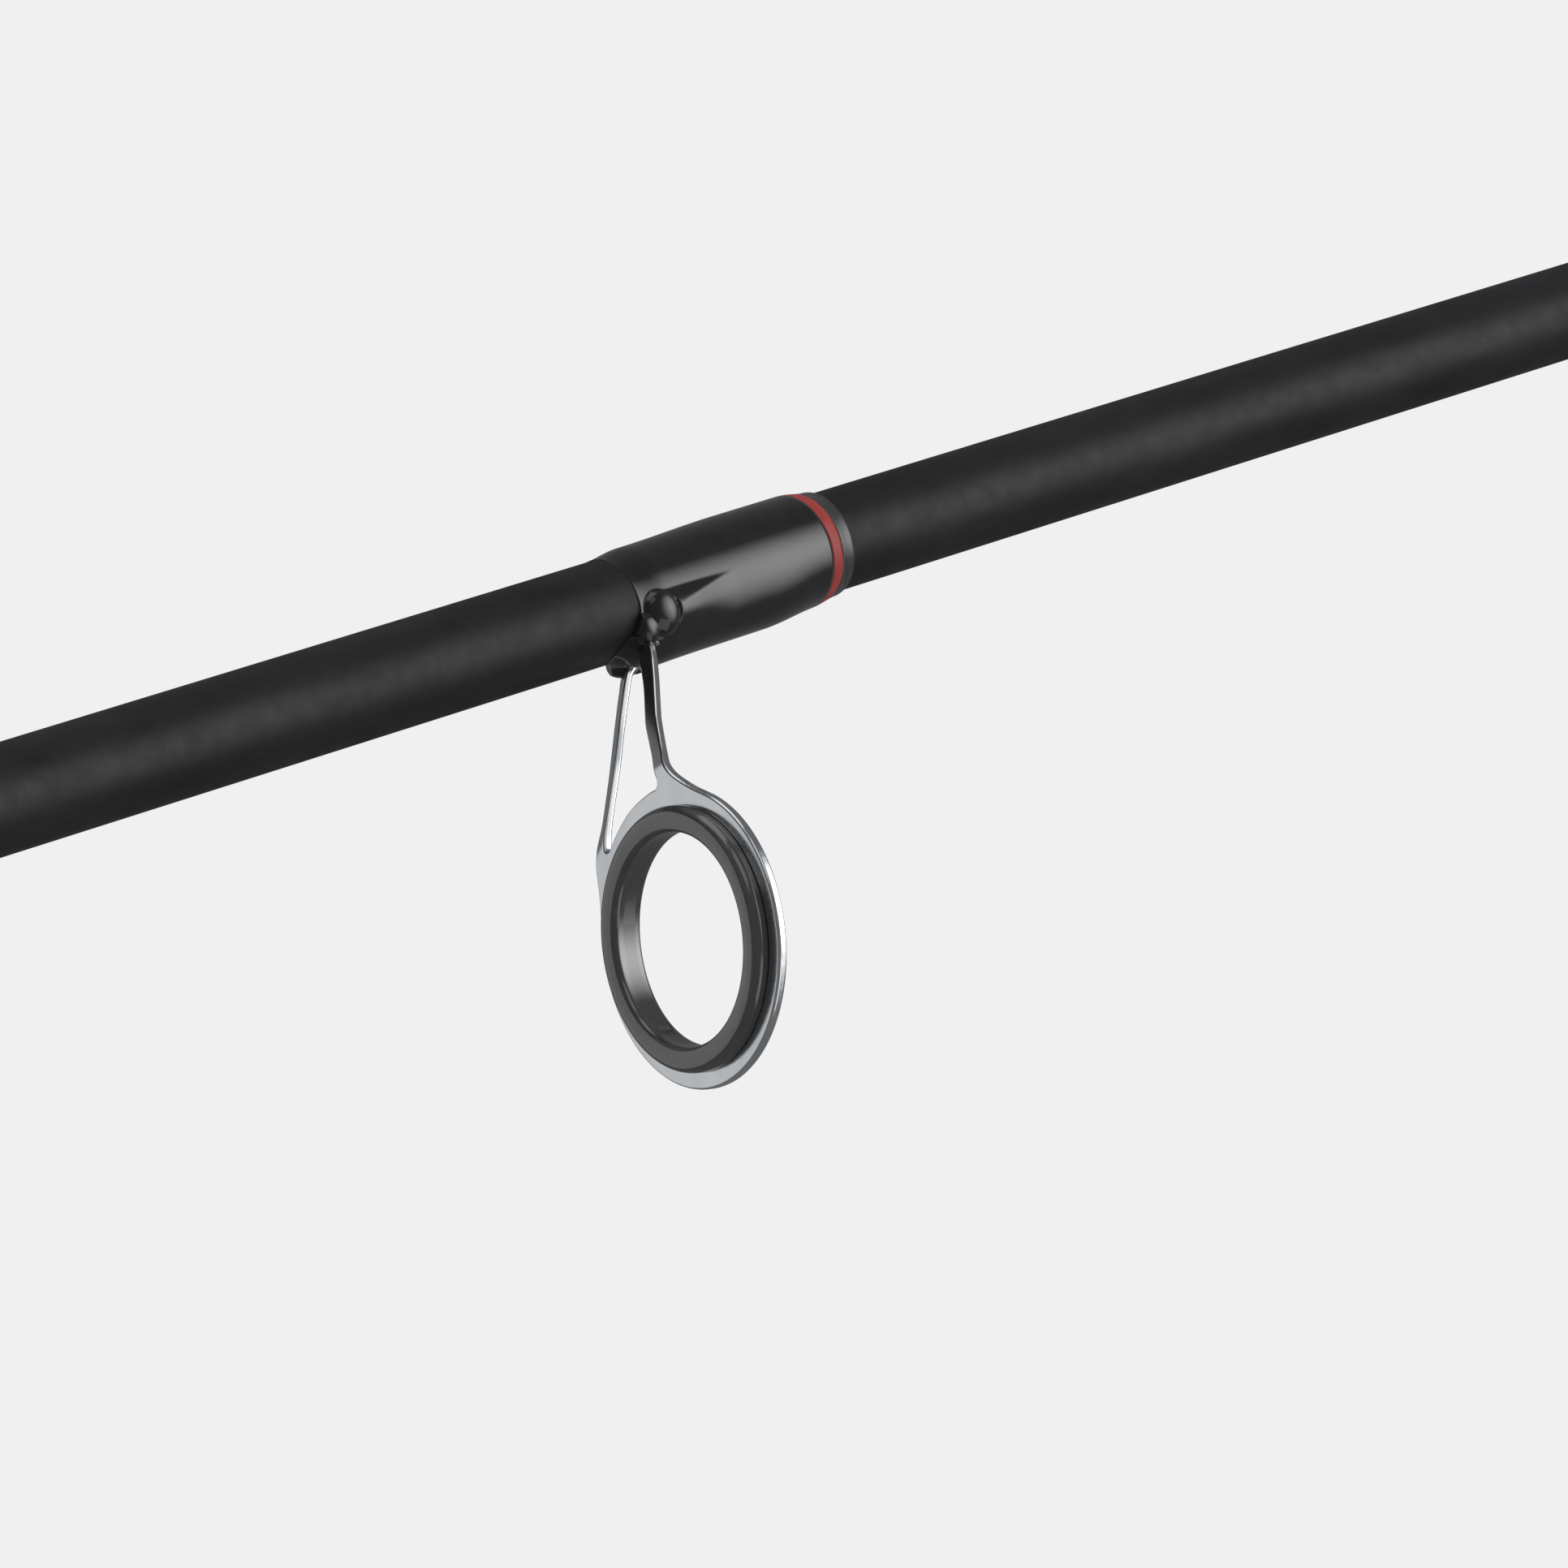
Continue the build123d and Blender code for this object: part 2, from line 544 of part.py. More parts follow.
def make_bail_arms():
    """Two levers outside the rotor's arms, with the ends that hold the wire and the roller."""
    arms = Compound([])
    for side in (-1, 1):
        y0, y1 = sorted((side * (ARM_OUT + 0.3), side * (ARM_OUT + 3.3)))
        lever = side_plate([(-6, -3.5), (-3, -6), (4, -5), (15, -3), (15, 3), (4, 5), (-3, 6),
                            (-6, 3.5)], y0, y1)
        lever -= rod_y(y0 - 1, y1 + 1, 1.5)
        if side < 0:
            lever += rod_y(y0 - 4.6, y1, 1.2, 11.5)
            lever += rod_y(y0 - 5.6, y0 - 4.6, 2.6, 11.5)
        arms += bail_place() * lever
    return arms


def make_bail_wire():
    path = Plane.XY * FilletPolyline((14, -BAIL_Y + 1.0), (BAIL_REACH, -BAIL_Y + 1.0),
                                     (BAIL_REACH, BAIL_Y - 1.0), (14, BAIL_Y - 1.0), radius=24)
    section = Plane(origin=path @ 0, z_dir=path % 0) * Circle(BAIL_WIRE_R)
    return bail_place() * sweep(section, path) - make_bail_arms()


def make_line_roller():
    y0 = -(ARM_OUT + 3.3) - 4.3
    face = make_face(Polyline((y0, 1.2 + RUN), (y0, 3.4), (y0 + 1.2, 2.5), (y0 + 2.6, 2.5),
                              (y0 + 4.1, 3.4), (y0 + 4.1, 1.2 + RUN), close=True))
    roller = revolve(Plane(origin=(0, 0, 0), x_dir=(0, 1, 0), z_dir=(0, 0, 1)) * face, Axis.Y)
    return bail_place() * Pos(11.5, 0, 0) * roller


def make_bail_screws():
    """Pivot screws fixed in the rotor's arms, on which the bail levers turn."""
    group = Compound([])
    for side in (-1, 1):
        a, b = side * ARM_IN, side * (ARM_OUT + 0.3)
        c, d = side * (ARM_OUT + 3.5), side * (ARM_OUT + 4.7)
        screw = rod_y(*sorted((a, b)), 1.5, PIVOT_X, ZR)
        screw += rod_y(*sorted((b, c)), 1.5 - RUN, PIVOT_X, ZR)
        screw += rod_y(*sorted((c, d)), 3.0, PIVOT_X, ZR)
        slot = block(PIVOT_X - 4, PIVOT_X + 4, *sorted((d - side * 0.5, d + side)), ZR - 0.35, ZR + 0.35)
        group += screw - slot
    return group


# ---------------------------------------------------------------- spool and drag
SPOOL_X = ROTOR_X + 15.0     # rear edge of the skirt
LIP_X = SPOOL_X + 36.0       # front face of the front lip
ARBOR_R = 14.0
SLIDER_X = XR - 23.5         # rear end of the main shaft


def make_main_shaft():
    return rod_x(SLIDER_X, LIP_X + 8.0, SHAFT_R, z=ZR)


def make_slider():
    """Block on the shaft's rear end, moved to and fro inside the housing."""
    body = block(SLIDER_X - 1.0, SLIDER_X + 6.5, -3.4, 3.4, ZR - 3.0, ZR + 3.6)
    return body - rod_x(SLIDER_X, XR, SHAFT_R, z=ZR)


def make_spool():
    """Skirted spool: a skirt over the rotor drum, a line groove and a front lip."""
    spool = lathe([(SPOOL_X, DRUM_R + 0.9), (SPOOL_X, SPOOL_R), (SPOOL_X + 16, SPOOL_R),
                   (SPOOL_X + 17.5, SPOOL_R - 0.6), (SPOOL_X + 17.5, ARBOR_R),
                   (LIP_X - 4, ARBOR_R), (LIP_X - 3, SPOOL_R - 1.4), (LIP_X - 1, SPOOL_R - 1.4),
                   (LIP_X, SPOOL_R - 3), (LIP_X, 11.5), (LIP_X - 9, 11.5), (LIP_X - 9, 2.0 + RUN),
                   (LIP_X - 15, 2.0 + RUN), (LIP_X - 15, ARBOR_R - 2.5),
                   (SPOOL_X + 15.5, ARBOR_R - 2.5), (SPOOL_X + 15.5, DRUM_R + 0.9)], ZR)
    return spool


def make_line_clip():
    """Small clip on the skirt for the line's end."""
    clip = block(SPOOL_X + 5, SPOOL_X + 11, -2.0, 2.0, ZR + SPOOL_R - 0.6, ZR + SPOOL_R + 0.7)
    return clip


def make_drag_washers():
    stack = Compound([])
    for i in range(5):
        x = LIP_X - 8.9 + 0.95 * i
        stack += rod_x(x, x + 0.85, 11.3, z=ZR) - rod_x(x - 1, x + 2, SHAFT_R + RUN, z=ZR)
    return stack


def make_drag_knob():
    x0 = LIP_X - 3.9
    knob = lathe([(x0, 0), (x0, 10.8), (LIP_X + 0.5, 10.8), (LIP_X + 0.5, 12.5), (LIP_X + 6, 11.5),
                  (LIP_X + 11, 7.5), (LIP_X + 11, 0)], ZR)
    for i in range(6):
        a = math.radians(60 * i)
        knob -= rod_x(LIP_X + 0.6, LIP_X + 12, 3.2, 13.6 * math.cos(a), ZR + 13.6 * math.sin(a))
    return knob - rod_x(x0 - 1, LIP_X + 8.05, SHAFT_R + RUN, z=ZR)


# ---------------------------------------------------------------- handle and lever
def crank_place():
    return Pos(GEAR_X, 0, GEAR_Z) * Rot(0, -CRANK_TILT, 0)


def make_handle_arm():
    """Flat crank arm on the drive shaft, with the knob's spindle at its free end."""
    hub = rod_y(ARM_Y, -BODY_W - 0.5, 4.6) + rod_y(ARM_Y, ARM_Y + 5.0, 6.5)
    arm = side_plate([(-5.0, 5), (5.0, 5), (3.6, -CRANK - 4), (-3.6, -CRANK - 4)],
                     ARM_Y - 3.5, ARM_Y)
    spindle = rod_y(ARM_Y - 30.0, ARM_Y - 2.0, 2.2, 0, -CRANK)
    end = rod_y(ARM_Y - 31.0, ARM_Y - 29.6, 3.2, 0, -CRANK)
    return crank_place() * (hub + arm + spindle + end) - rod_y(-16.0, 0, 3.5, GEAR_X, GEAR_Z)


def make_handle_knob():
    """Paddle-shaped knob that turns on the spindle."""
    outline = [(0, 4.4), (5.5, 4.4), (4.6, 9), (8.0, 17), (8.6, 25), (7.0, 29.4), (0, 29.4)]
    face = make_face(Polyline(*[(r, ARM_Y - y) for r, y in outline], close=True))
    knob = revolve(Plane.XY * face, Axis.Y) - rod_y(ARM_Y - 40, ARM_Y, 2.2 + RUN)
    return crank_place() * Pos(0, 0, -CRANK) * knob


def make_handle_cap():
    """Screw cap over the drive shaft's end, on the side away from the handle."""
    return rod_y(BODY_W + 3.0, BODY_W + 5.5, 7.0, GEAR_X, GEAR_Z)


LEVER_X, LEVER_Z = BODY_X - 20.0, BODY_Z - 12.0


def lever_slot():
    return block(LEVER_X - 6.5, LEVER_X + 6.5, -2.6, 2.6, LEVER_Z - 14, LEVER_Z + 6.2)


def make_reverse_lever():
    """Small lever under the housing that turns the anti-reverse off."""
    lever = rod_y(-2.2, 2.2, 2.4, LEVER_X, LEVER_Z) + side_plate(
        [(LEVER_X - 1.4, LEVER_Z), (LEVER_X + 1.4, LEVER_Z), (LEVER_X + 1.2, LEVER_Z - 12),
         (LEVER_X - 3.0, LEVER_Z - 13)], -2.2, 2.2)
    return lever - rod_y(-3, 3, 1.0 + RUN, LEVER_X, LEVER_Z)


def make_lever_pin():
    return rod_y(-5.0, 5.0, 1.0, LEVER_X, LEVER_Z)


def build():
    nodes["butt_cap"] = make_butt_cap()
    nodes["rear_grip"] = make_rear_grip()
    nodes["butt_blank"] = make_butt_blank()
    nodes["tip_blank"] = make_tip_blank()
    nodes["reel_seat"] = make_reel_seat()
    nodes["fixed_hood"] = make_fixed_hood()
    nodes["sliding_hood"] = make_sliding_hood()
    nodes["lock_nut"] = make_lock_nut()
    nodes["fore_grip"] = make_fore_grip()
    nodes["winding_check"] = make_winding_check()
    nodes["hook_keeper"] = make_hook_keeper()
    nodes["keeper_wrap"] = make_keeper_wrap()
    nodes["ferrule_wrap"] = make_ferrule_wrap()
    make_guides()
    nodes["tip_top"], nodes["tip_top_ring"] = make_tip_top()
    nodes["tip_top_wrap"] = make_tip_top_wrap()
    nodes["reel_body"] = make_reel_body() - make_lever_pin()
    nodes["side_cover"] = make_side_cover()
    nodes["cover_screws"] = make_cover_screws()
    nodes["drive_bearings"] = make_drive_bearings()
    nodes["drive_gear"] = make_drive_gear()
    nodes["pinion"] = make_pinion()
    nodes["rotor_bearing"] = make_rotor_bearing()
    nodes["rotor"] = make_rotor()
    nodes["rotor_nut"] = make_rotor_nut()
    nodes["bail_arms"] = make_bail_arms()
    nodes["bail_wire"] = make_bail_wire()
    nodes["line_roller"] = make_line_roller()
    nodes["bail_screws"] = make_bail_screws()
    nodes["main_shaft"] = make_main_shaft()
    nodes["slider"] = make_slider()
    nodes["spool"] = make_spool() - make_line_clip()
    nodes["line_clip"] = make_line_clip()
    nodes["drag_washers"] = make_drag_washers()
    nodes["drag_knob"] = make_drag_knob()
    nodes["handle_arm"] = make_handle_arm()
    nodes["handle_knob"] = make_handle_knob()
    nodes["handle_cap"] = make_handle_cap()
    nodes["reverse_lever"] = make_reverse_lever()
    nodes["lever_pin"] = make_lever_pin()


build()
os.makedirs("parts", exist_ok=True)
for node_name, shape in nodes.items():
    export_step(shape, "parts/" + node_name + ".step")
print(len(nodes), "nodes written")
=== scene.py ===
import json
import math

import bmesh
import bpy
import numpy as np
from mathutils import Matrix, Vector
from mathutils.geometry import delaunay_2d_cdt


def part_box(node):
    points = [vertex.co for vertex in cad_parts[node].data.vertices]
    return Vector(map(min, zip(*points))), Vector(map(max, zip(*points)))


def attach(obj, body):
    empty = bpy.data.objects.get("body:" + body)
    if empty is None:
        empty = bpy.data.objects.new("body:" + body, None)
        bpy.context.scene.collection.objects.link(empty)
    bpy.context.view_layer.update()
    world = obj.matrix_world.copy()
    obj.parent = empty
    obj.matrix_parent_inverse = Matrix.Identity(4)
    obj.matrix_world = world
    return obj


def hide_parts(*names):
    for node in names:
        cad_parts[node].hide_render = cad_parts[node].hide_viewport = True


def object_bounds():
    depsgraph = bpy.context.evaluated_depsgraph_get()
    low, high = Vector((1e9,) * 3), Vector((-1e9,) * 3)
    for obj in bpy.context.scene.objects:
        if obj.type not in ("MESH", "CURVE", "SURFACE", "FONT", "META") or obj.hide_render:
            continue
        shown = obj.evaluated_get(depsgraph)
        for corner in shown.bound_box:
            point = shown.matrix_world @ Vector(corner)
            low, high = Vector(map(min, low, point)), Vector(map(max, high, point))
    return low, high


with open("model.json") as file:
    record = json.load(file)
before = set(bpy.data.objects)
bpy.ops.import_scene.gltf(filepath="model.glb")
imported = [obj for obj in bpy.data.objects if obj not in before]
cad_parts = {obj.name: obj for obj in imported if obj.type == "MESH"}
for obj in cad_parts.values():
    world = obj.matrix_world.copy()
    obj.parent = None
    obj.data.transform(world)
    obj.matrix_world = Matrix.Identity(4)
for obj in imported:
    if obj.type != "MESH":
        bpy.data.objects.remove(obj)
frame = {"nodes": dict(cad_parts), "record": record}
cad_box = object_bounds()

MM = 0.001

# ---- sizes of the rod, in millimetres, as in the frame ----
CLOSE_GUIDE = "guide_2"  # the one that the camera looks at
GUIDE_NAMES = ["guide_1", "guide_2", "guide_3", "guide_4", "guide_5", "guide_6"]
PATTERN_OD = 20.0        # the guide that the others are scaled from
BUTT_END, TIP_END = -76.0, 1752.0
BLANK_BUTT = 6.06        # blank radius at the butt end
BLANK_TAPER = 0.00273    # loss of radius per millimetre of length
BUTT_WALL = 0.8
TIP_R = 1.0              # blank radius at the tip
SLEEVE_START, SLEEVE_END = 842.0, 902.0
SLEEVE = 0.6             # how far the ferrule's sleeve stands off the butt section
SLEEVE_BORE = 3.46       # at its front end
HOLLOW_END = 1300.0      # from here on the tip section is drawn solid
SEAT_R, PLATE_R = 9.7, 11.2  # hole of the ring plate, and the plate outside
SHEET, EDGE = 0.8, 0.24      # thickness, and radius of the rounded edges
LEAN = math.radians(10.9)    # ring plate away from square to the blank
REACH = 11.4             # bend to the ring's centre, along the plate
DROP = 12.7              # bend below the blank's surface
BACK = 9.8               # bend behind the wrap's rear end
LEG = 15.8               # bend to the root of the legs, along the legs
FOOT = 13.5              # under the wrap
REAR_FOOT = 30.0         # double-foot guide: rear foot behind the wrap's rear end
BEND_R, ROOT_R = 5.5, 2.6     # bends of the sheet, at the plate and at the root of the legs
REAR_FOOT_LENGTH = 14.0
LEG_TWIST = 0.15         # how much the legs' faces turn outwards
LEG_THINNING = 0.28      # share of the sheet's thickness that the legs lose
WRAP = 22.0              # length of the thread wrap
COAT = 0.48              # thread and varnish, radial
TRIM_AT, TRIM_W = 19.5, 1.15  # from the wrap's rear end, and width
RIDGE_H, RIDGE_W = 1.05, 2.5  # varnish over the foot
SHELF_H = 0.66           # varnish beside the foot
DROPS = ((1.55, 3.2, 1.55, 0.85), (-0.1, 2.3, 1.1, 0.75))  # ahead, across, radius, height
SINK = 0.12              # how far the ends of a wrap piece go into the blank


# ------------------------------------------------------------------ mesh helpers
def new_mesh(name, verts, faces):
    """A smooth mesh object from points in millimetres."""
    mesh = bpy.data.meshes.new(name)
    mesh.from_pydata([(x * MM, y * MM, z * MM) for x, y, z in verts], [], faces)
    mesh.update()
    obj = bpy.data.objects.new(name, mesh)
    bpy.context.scene.collection.objects.link(obj)
    mesh.polygons.foreach_set("use_smooth", [True] * len(mesh.polygons))
    return obj


def fix_normals(obj):
    """Joins points that coincide and turns every face outwards."""
    bm = bmesh.new()
    bm.from_mesh(obj.data)
    bmesh.ops.remove_doubles(bm, verts=bm.verts, dist=1e-7)
    bmesh.ops.recalc_face_normals(bm, faces=bm.faces)
    bm.to_mesh(obj.data)
    bm.free()


def grid_faces(rows, cols, closed_rows=False):
    """Faces between rows of points, each row a closed loop."""
    faces = []
    for i in range(rows if closed_rows else rows - 1):
        here, there = i * cols, ((i + 1) % rows) * cols
        for j in range(cols):
            k = (j + 1) % cols
            faces.append((here + j, here + k, there + k, there + j))
    return faces


def lathe_x(name, profile, cols=128, place=None):
    """A piece turned about the X axis from a closed section of (x, radius) points."""
    verts = []
    for x, r in profile:
        for j in range(cols):
            a = 2 * math.pi * j / cols
            p = (x, r * math.sin(a), -r * math.cos(a))
            verts.append(place(p) if place else p)
    obj = new_mesh(name, verts, grid_faces(len(profile), cols, closed_rows=True))
    fix_normals(obj)
    return obj


def rounded(points, steps=8):
    """A closed outline of (x, y, corner radius) points, with each corner turned into an arc."""
    out = []
    n = len(points)
    for i, (x, y, r) in enumerate(points):
        p = np.array((x, y))
        if r <= 0:
            out.append(p)
            continue
        a = np.array(points[i - 1][:2]) - p
        b = np.array(points[(i + 1) % n][:2]) - p
        a, b = a / np.linalg.norm(a), b / np.linalg.norm(b)
        half = math.acos(max(-1, min(1, float(a @ b)))) / 2
        back = r / math.tan(half)
        centre = p + (a + b) / np.linalg.norm(a + b) * r / math.sin(half)
        start, end = p + a * back - centre, p + b * back - centre
        a0 = math.atan2(start[1], start[0])
        turn = (math.atan2(end[1], end[0]) - a0 + math.pi) % (2 * math.pi) - math.pi
        for k in range(steps + 1):
            t = a0 + turn * k / steps
            out.append(centre + r * np.array((math.cos(t), math.sin(t))))
    return out


def resample(loop, step):
    """Points at even spacing along a closed loop."""
    pts = np.array(list(loop) + [loop[0]])
    seg = np.linalg.norm(np.diff(pts, axis=0), axis=1)
    keep = np.concatenate(([True], seg > 1e-9))
    pts = pts[keep]
    s = np.concatenate(([0], np.cumsum(np.linalg.norm(np.diff(pts, axis=0), axis=1))))
    count = max(12, int(s[-1] / step))
    t = np.linspace(0, s[-1], count, endpoint=False)
    return np.stack([np.interp(t, s, pts[:, 0]), np.interp(t, s, pts[:, 1])], axis=1)


def outward(loop, into):
    """Unit normals out of the sheet; into is 1 for an outer loop and -1 for a hole."""
    nxt, prv = np.roll(loop, -1, axis=0), np.roll(loop, 1, axis=0)
    tangent = nxt - prv
    normal = np.stack([-tangent[:, 1], tangent[:, 0]], axis=1)
    normal /= np.linalg.norm(normal, axis=1)[:, None]
    area = 0.5 * np.sum(loop[:, 0] * nxt[:, 1] - nxt[:, 0] * loop[:, 1])
    return normal * into * (-1 if area > 0 else 1)


def inside(point, loop):
    """Whether a point lies inside a closed loop."""
    x, y = point
    a, b = loop, np.roll(loop, -1, axis=0)
    cross = (a[:, 1] > y) != (b[:, 1] > y)
    dy = np.where(np.abs(b[:, 1] - a[:, 1]) < 1e-12, 1e-12, b[:, 1] - a[:, 1])
    xs = a[:, 0] + (y - a[:, 1]) * (b[:, 0] - a[:, 0]) / dy
    return bool(np.sum(cross & (xs > x)) % 2)


def sheet_piece(name, outer, holes, place, thick, edge, cell=0.7):
    """Stamped sheet with rounded edges. place(y, v, w) takes sheet coordinates to millimetres."""
    loops = [(outer, 1)] + [(h, -1) for h in holes]
    steps = 4
    verts, normals, faces, tops = [], [], [], []
    for loop, into in loops:
        ring_ids = []
        out = outward(loop, into)
        for side in (1, -1):
            for i in range(steps + 1):
                a = math.pi / 2 * (i if side > 0 else steps - i) / steps
                flat = loop - out * edge * (1 - math.sin(a))
                w = side * (thick / 2 - edge * (1 - math.cos(a)))
                ring_ids.append(len(verts))
                verts += [(p[0], p[1], w) for p in flat]
                normals += [(q[0] * math.sin(a), q[1] * math.sin(a), side * math.cos(a)) for q in out]
        n = len(loop)
        for r0, r1 in zip(ring_ids, ring_ids[1:]):
            faces += [(r0 + j, r0 + (j + 1) % n, r1 + (j + 1) % n, r1 + j) for j in range(n)]
        tops.append((ring_ids[0], ring_ids[-1], n, loop - out * edge))
    rim = [t[3] for t in tops]
    low, high = rim[0].min(axis=0), rim[0].max(axis=0)
    fill = []
    for gx in np.arange(low[0], high[0], cell):
        for gy in np.arange(low[1], high[1], cell):
            p = np.array((gx + 0.13 * cell * math.sin(9 * gy), gy))
            if inside(p, rim[0]) and not any(inside(p, h) for h in rim[1:]):
                if min(np.min(np.linalg.norm(h - p, axis=1)) for h in rim) > cell * 0.45:
                    fill.append(p)
    points, edges, top_ids, low_ids = [], [], [], []
    for top0, low0, n, flat in tops:
        start = len(points)
        points += [Vector(p) for p in flat]
        edges += [(start + j, start + (j + 1) % n) for j in range(n)]
        top_ids += [top0 + j for j in range(n)]
        low_ids += [low0 + j for j in range(n)]
    for p in fill:
        points.append(Vector(p))
        top_ids.append(len(verts))
        verts.append((p[0], p[1], thick / 2))
        low_ids.append(len(verts))
        verts.append((p[0], p[1], -thick / 2))
        normals += [(0.0, 0.0, 1.0), (0.0, 0.0, -1.0)]
    net = delaunay_2d_cdt(points, edges, [], 0, 1e-6)
    source = net[3]
    for tri in net[2]:
        mid = sum((np.array(net[0][i]) for i in tri), np.zeros(2)) / 3
        if not inside(mid, rim[0]) or any(inside(mid, h) for h in rim[1:]):
            continue
        ids = [source[i][0] for i in tri]
        faces.append(tuple(top_ids[i] for i in ids))
        faces.append(tuple(low_ids[i] for i in reversed(ids)))
    obj = new_mesh(name, [place(*v) for v in verts], faces)
    fix_normals(obj)
    if len(obj.data.vertices) == len(verts):
        turned = [placed_normal(place, v, n) for v, n in zip(verts, normals)]
        obj.data.normals_split_custom_set_from_vertices(turned)
    return obj


def placed_normal(place, v, n, e=0.01):
    """A sheet normal after place has bent the sheet there."""
    at = np.array(place(*v))
    moved = [place(v[0] + e, v[1], v[2]), place(v[0], v[1] + e, v[2]), place(v[0], v[1], v[2] + e)]
    m = np.linalg.solve(np.array(moved) - at, n)
    return m / np.linalg.norm(m)


# ------------------------------------------------------------------ the guide
def guide_outline():
    """Outer outline of the sheet: across, and from the ring's centre towards the foot."""
    root, tip = REACH + LEG, REACH + LEG + FOOT
    touch = math.radians(50)
    right = [(PLATE_R * math.sin(a), PLATE_R * math.cos(a))
             for a in np.linspace(math.pi, touch, 46)]
    p0 = np.array(right[-1])
    p1, p2 = np.array((6.5, 9.7)), np.array((5.6, 12.3))
    for t in np.linspace(0.12, 1, 9):
        right.append(tuple((1 - t) ** 2 * p0 + 2 * t * (1 - t) * p1 + t * t * p2))
    right += [(5.1, 13.9), (4.55, 15.9), (4.05, 17.9), (3.75, 19.9), (3.45, 22.0), (3.0, 24.5),
              (2.5, root - 0.9), (1.8, root + 0.3), (1.2, root + 2.0), (1.0, tip - 3.0),
              (0.5, tip - 0.3), (0.25, tip)]
    left = [(-x, y) for x, y in reversed(right[1:])]
    return right + left


def guide_window():
    """The gap between the legs, round at its corners, with the ring plate's arc below."""
    apex, low_r, corner = REACH + LEG + 0.2, 11.5, 4.55
    low_v = math.sqrt(low_r ** 2 - corner ** 2)
    points = [(-0.7, apex, 0.3), (0.7, apex, 0.3), (2.0, 22.0, 20.0), (2.55, 17.9, 9.0),
              (3.75, 13.9, 9.0), (corner, low_v, 0.42)]
    for y in np.linspace(3.5, -3.5, 13):
        points.append((y, math.sqrt(low_r ** 2 - y ** 2), 0))
    points += [(-corner, low_v, 0.42), (-3.75, 13.9, 9.0), (-2.55, 17.9, 9.0), (-2.0, 22.0, 20.0)]
    return rounded(points)


def bent_path(points, radii):
    """Positions and headings along a line with rounded bends, by distance."""
    dense = [np.array(points[0])]
    for i in range(1, len(points) - 1):
        p = np.array(points[i])
        a = np.array(points[i - 1]) - p
        b = np.array(points[i + 1]) - p
        a, b = a / np.linalg.norm(a), b / np.linalg.norm(b)
        half = math.acos(float(a @ b)) / 2
        back = radii[i - 1] / math.tan(half)
        for t in np.linspace(0, 1, 17):
            q0, q2 = p + a * back, p + b * back
            dense.append((1 - t) ** 2 * q0 + 2 * t * (1 - t) * p + t * t * q2)
    dense.append(np.array(points[-1]))
    dense = np.array(dense)
    seg = np.diff(dense, axis=0)
    size = np.linalg.norm(seg, axis=1)
    dist = np.concatenate(([0], np.cumsum(size)))
    return dense, dist, (dist[:-1] + dist[1:]) / 2, seg / size[:, None]


def along(path, s, w):
    """The point a distance s along a bent line and w to its side."""
    dense, dist, mid, head = path
    over = max(s - dist[-1], 0.0) + min(s, 0.0)
    hx, hz = np.interp(s, mid, head[:, 0]), np.interp(s, mid, head[:, 1])
    size = math.hypot(hx, hz)
    px, pz = np.interp(s, dist, dense[:, 0]), np.interp(s, dist, dense[:, 1])
    return px + (hx * over - hz * w) / size, pz + (hz * over + hx * w) / size


def leg_middle(v):
    """How far the middle of a leg lies from the guide's centre line."""
    return 4.7 - 2.9 * min(1.0, max(0.0, (v - REACH) / LEG))


def guide_place(x, blank_r, k):
    """Maps sheet coordinates (y, v, w) of the pattern guide to the rod, scaled by k."""
    bend = np.array((x - BACK * k, -blank_r - DROP * k))
    down = np.array((-math.sin(LEAN), -math.cos(LEAN)))
    low = bend + down * (REACH + PLATE_R) * k
    root = np.array((x, -blank_r - SHEET * min(k, 1.0) / 2))
    end = root + np.array((FOOT * k + 2, 0.0))
    path = bent_path([low, bend, root, end], [BEND_R * k, ROOT_R * k])

    def place(y, v, w):
        leg = smooth((v - REACH + 1.0) / 4.0) * smooth((REACH + LEG + 1.0 - v) / 3.0)
        w = w * (1 - LEG_THINNING * leg) - LEG_TWIST * leg * (abs(y) - leg_middle(v))
        px, pz = along(path, (v + PLATE_R) * k, w * k)
        return (px, y * k, pz)
    return place


def brace_place(x, blank_r, k):
    """The rear foot of a double-foot guide: from the foot's end, along the blank, to the plate."""
    rear, z = x - REAR_FOOT * k, -blank_r - SHEET / 2
    lift = SEAT_R + 0.9
    back = BACK + (REACH - lift) * math.sin(LEAN)
    down = DROP + (REACH - lift) * math.cos(LEAN)
    path = bent_path([np.array((rear - REAR_FOOT_LENGTH * k, z)), np.array((rear, z)),
                      np.array((x - back * k, -blank_r - down * k))], [3.0 * k])

    def place(y, v, w):
        px, pz = along(path, v * k, w)
        return (px, y * k, pz)
    return place, path[1][-1] / k


def ring_place(x, blank_r, k):
    """Maps a ring turned about the X axis at the origin to its seat in the guide."""
    centre_x = x - BACK * k - REACH * k * math.sin(LEAN)
    centre_z = -blank_r - DROP * k - REACH * k * math.cos(LEAN)
    c, s = math.cos(LEAN), math.sin(LEAN)

    def place(p):
        px, py, pz = p
        return (centre_x + (px * c + pz * s), py, centre_z + (-px * s + pz * c))
    return place


def ring_profile(k):
    """Section of the ceramic ring: flange towards the butt, stepped lip, crowned bore."""
    pts = [(0.9, 9.62, 0.0), (-0.42, 9.62, 0.0), (-0.42, 9.94, 0.08), (-1.48, 9.94, 0.7),
           (-1.62, 9.0, 2.2), (-1.5, 7.93, 0.5), (-0.6, 7.98, 0.0), (0.5, 7.98, 0.0),
           (1.1, 8.04, 0.35), (1.1, 9.3, 0.3)]
    return resample([p * k for p in rounded(pts, 14)], 0.07 * k)


def butt_radius(x):
    """Radius of the butt section's straight taper."""
    return BLANK_BUTT - BLANK_TAPER * (x - BUTT_END)


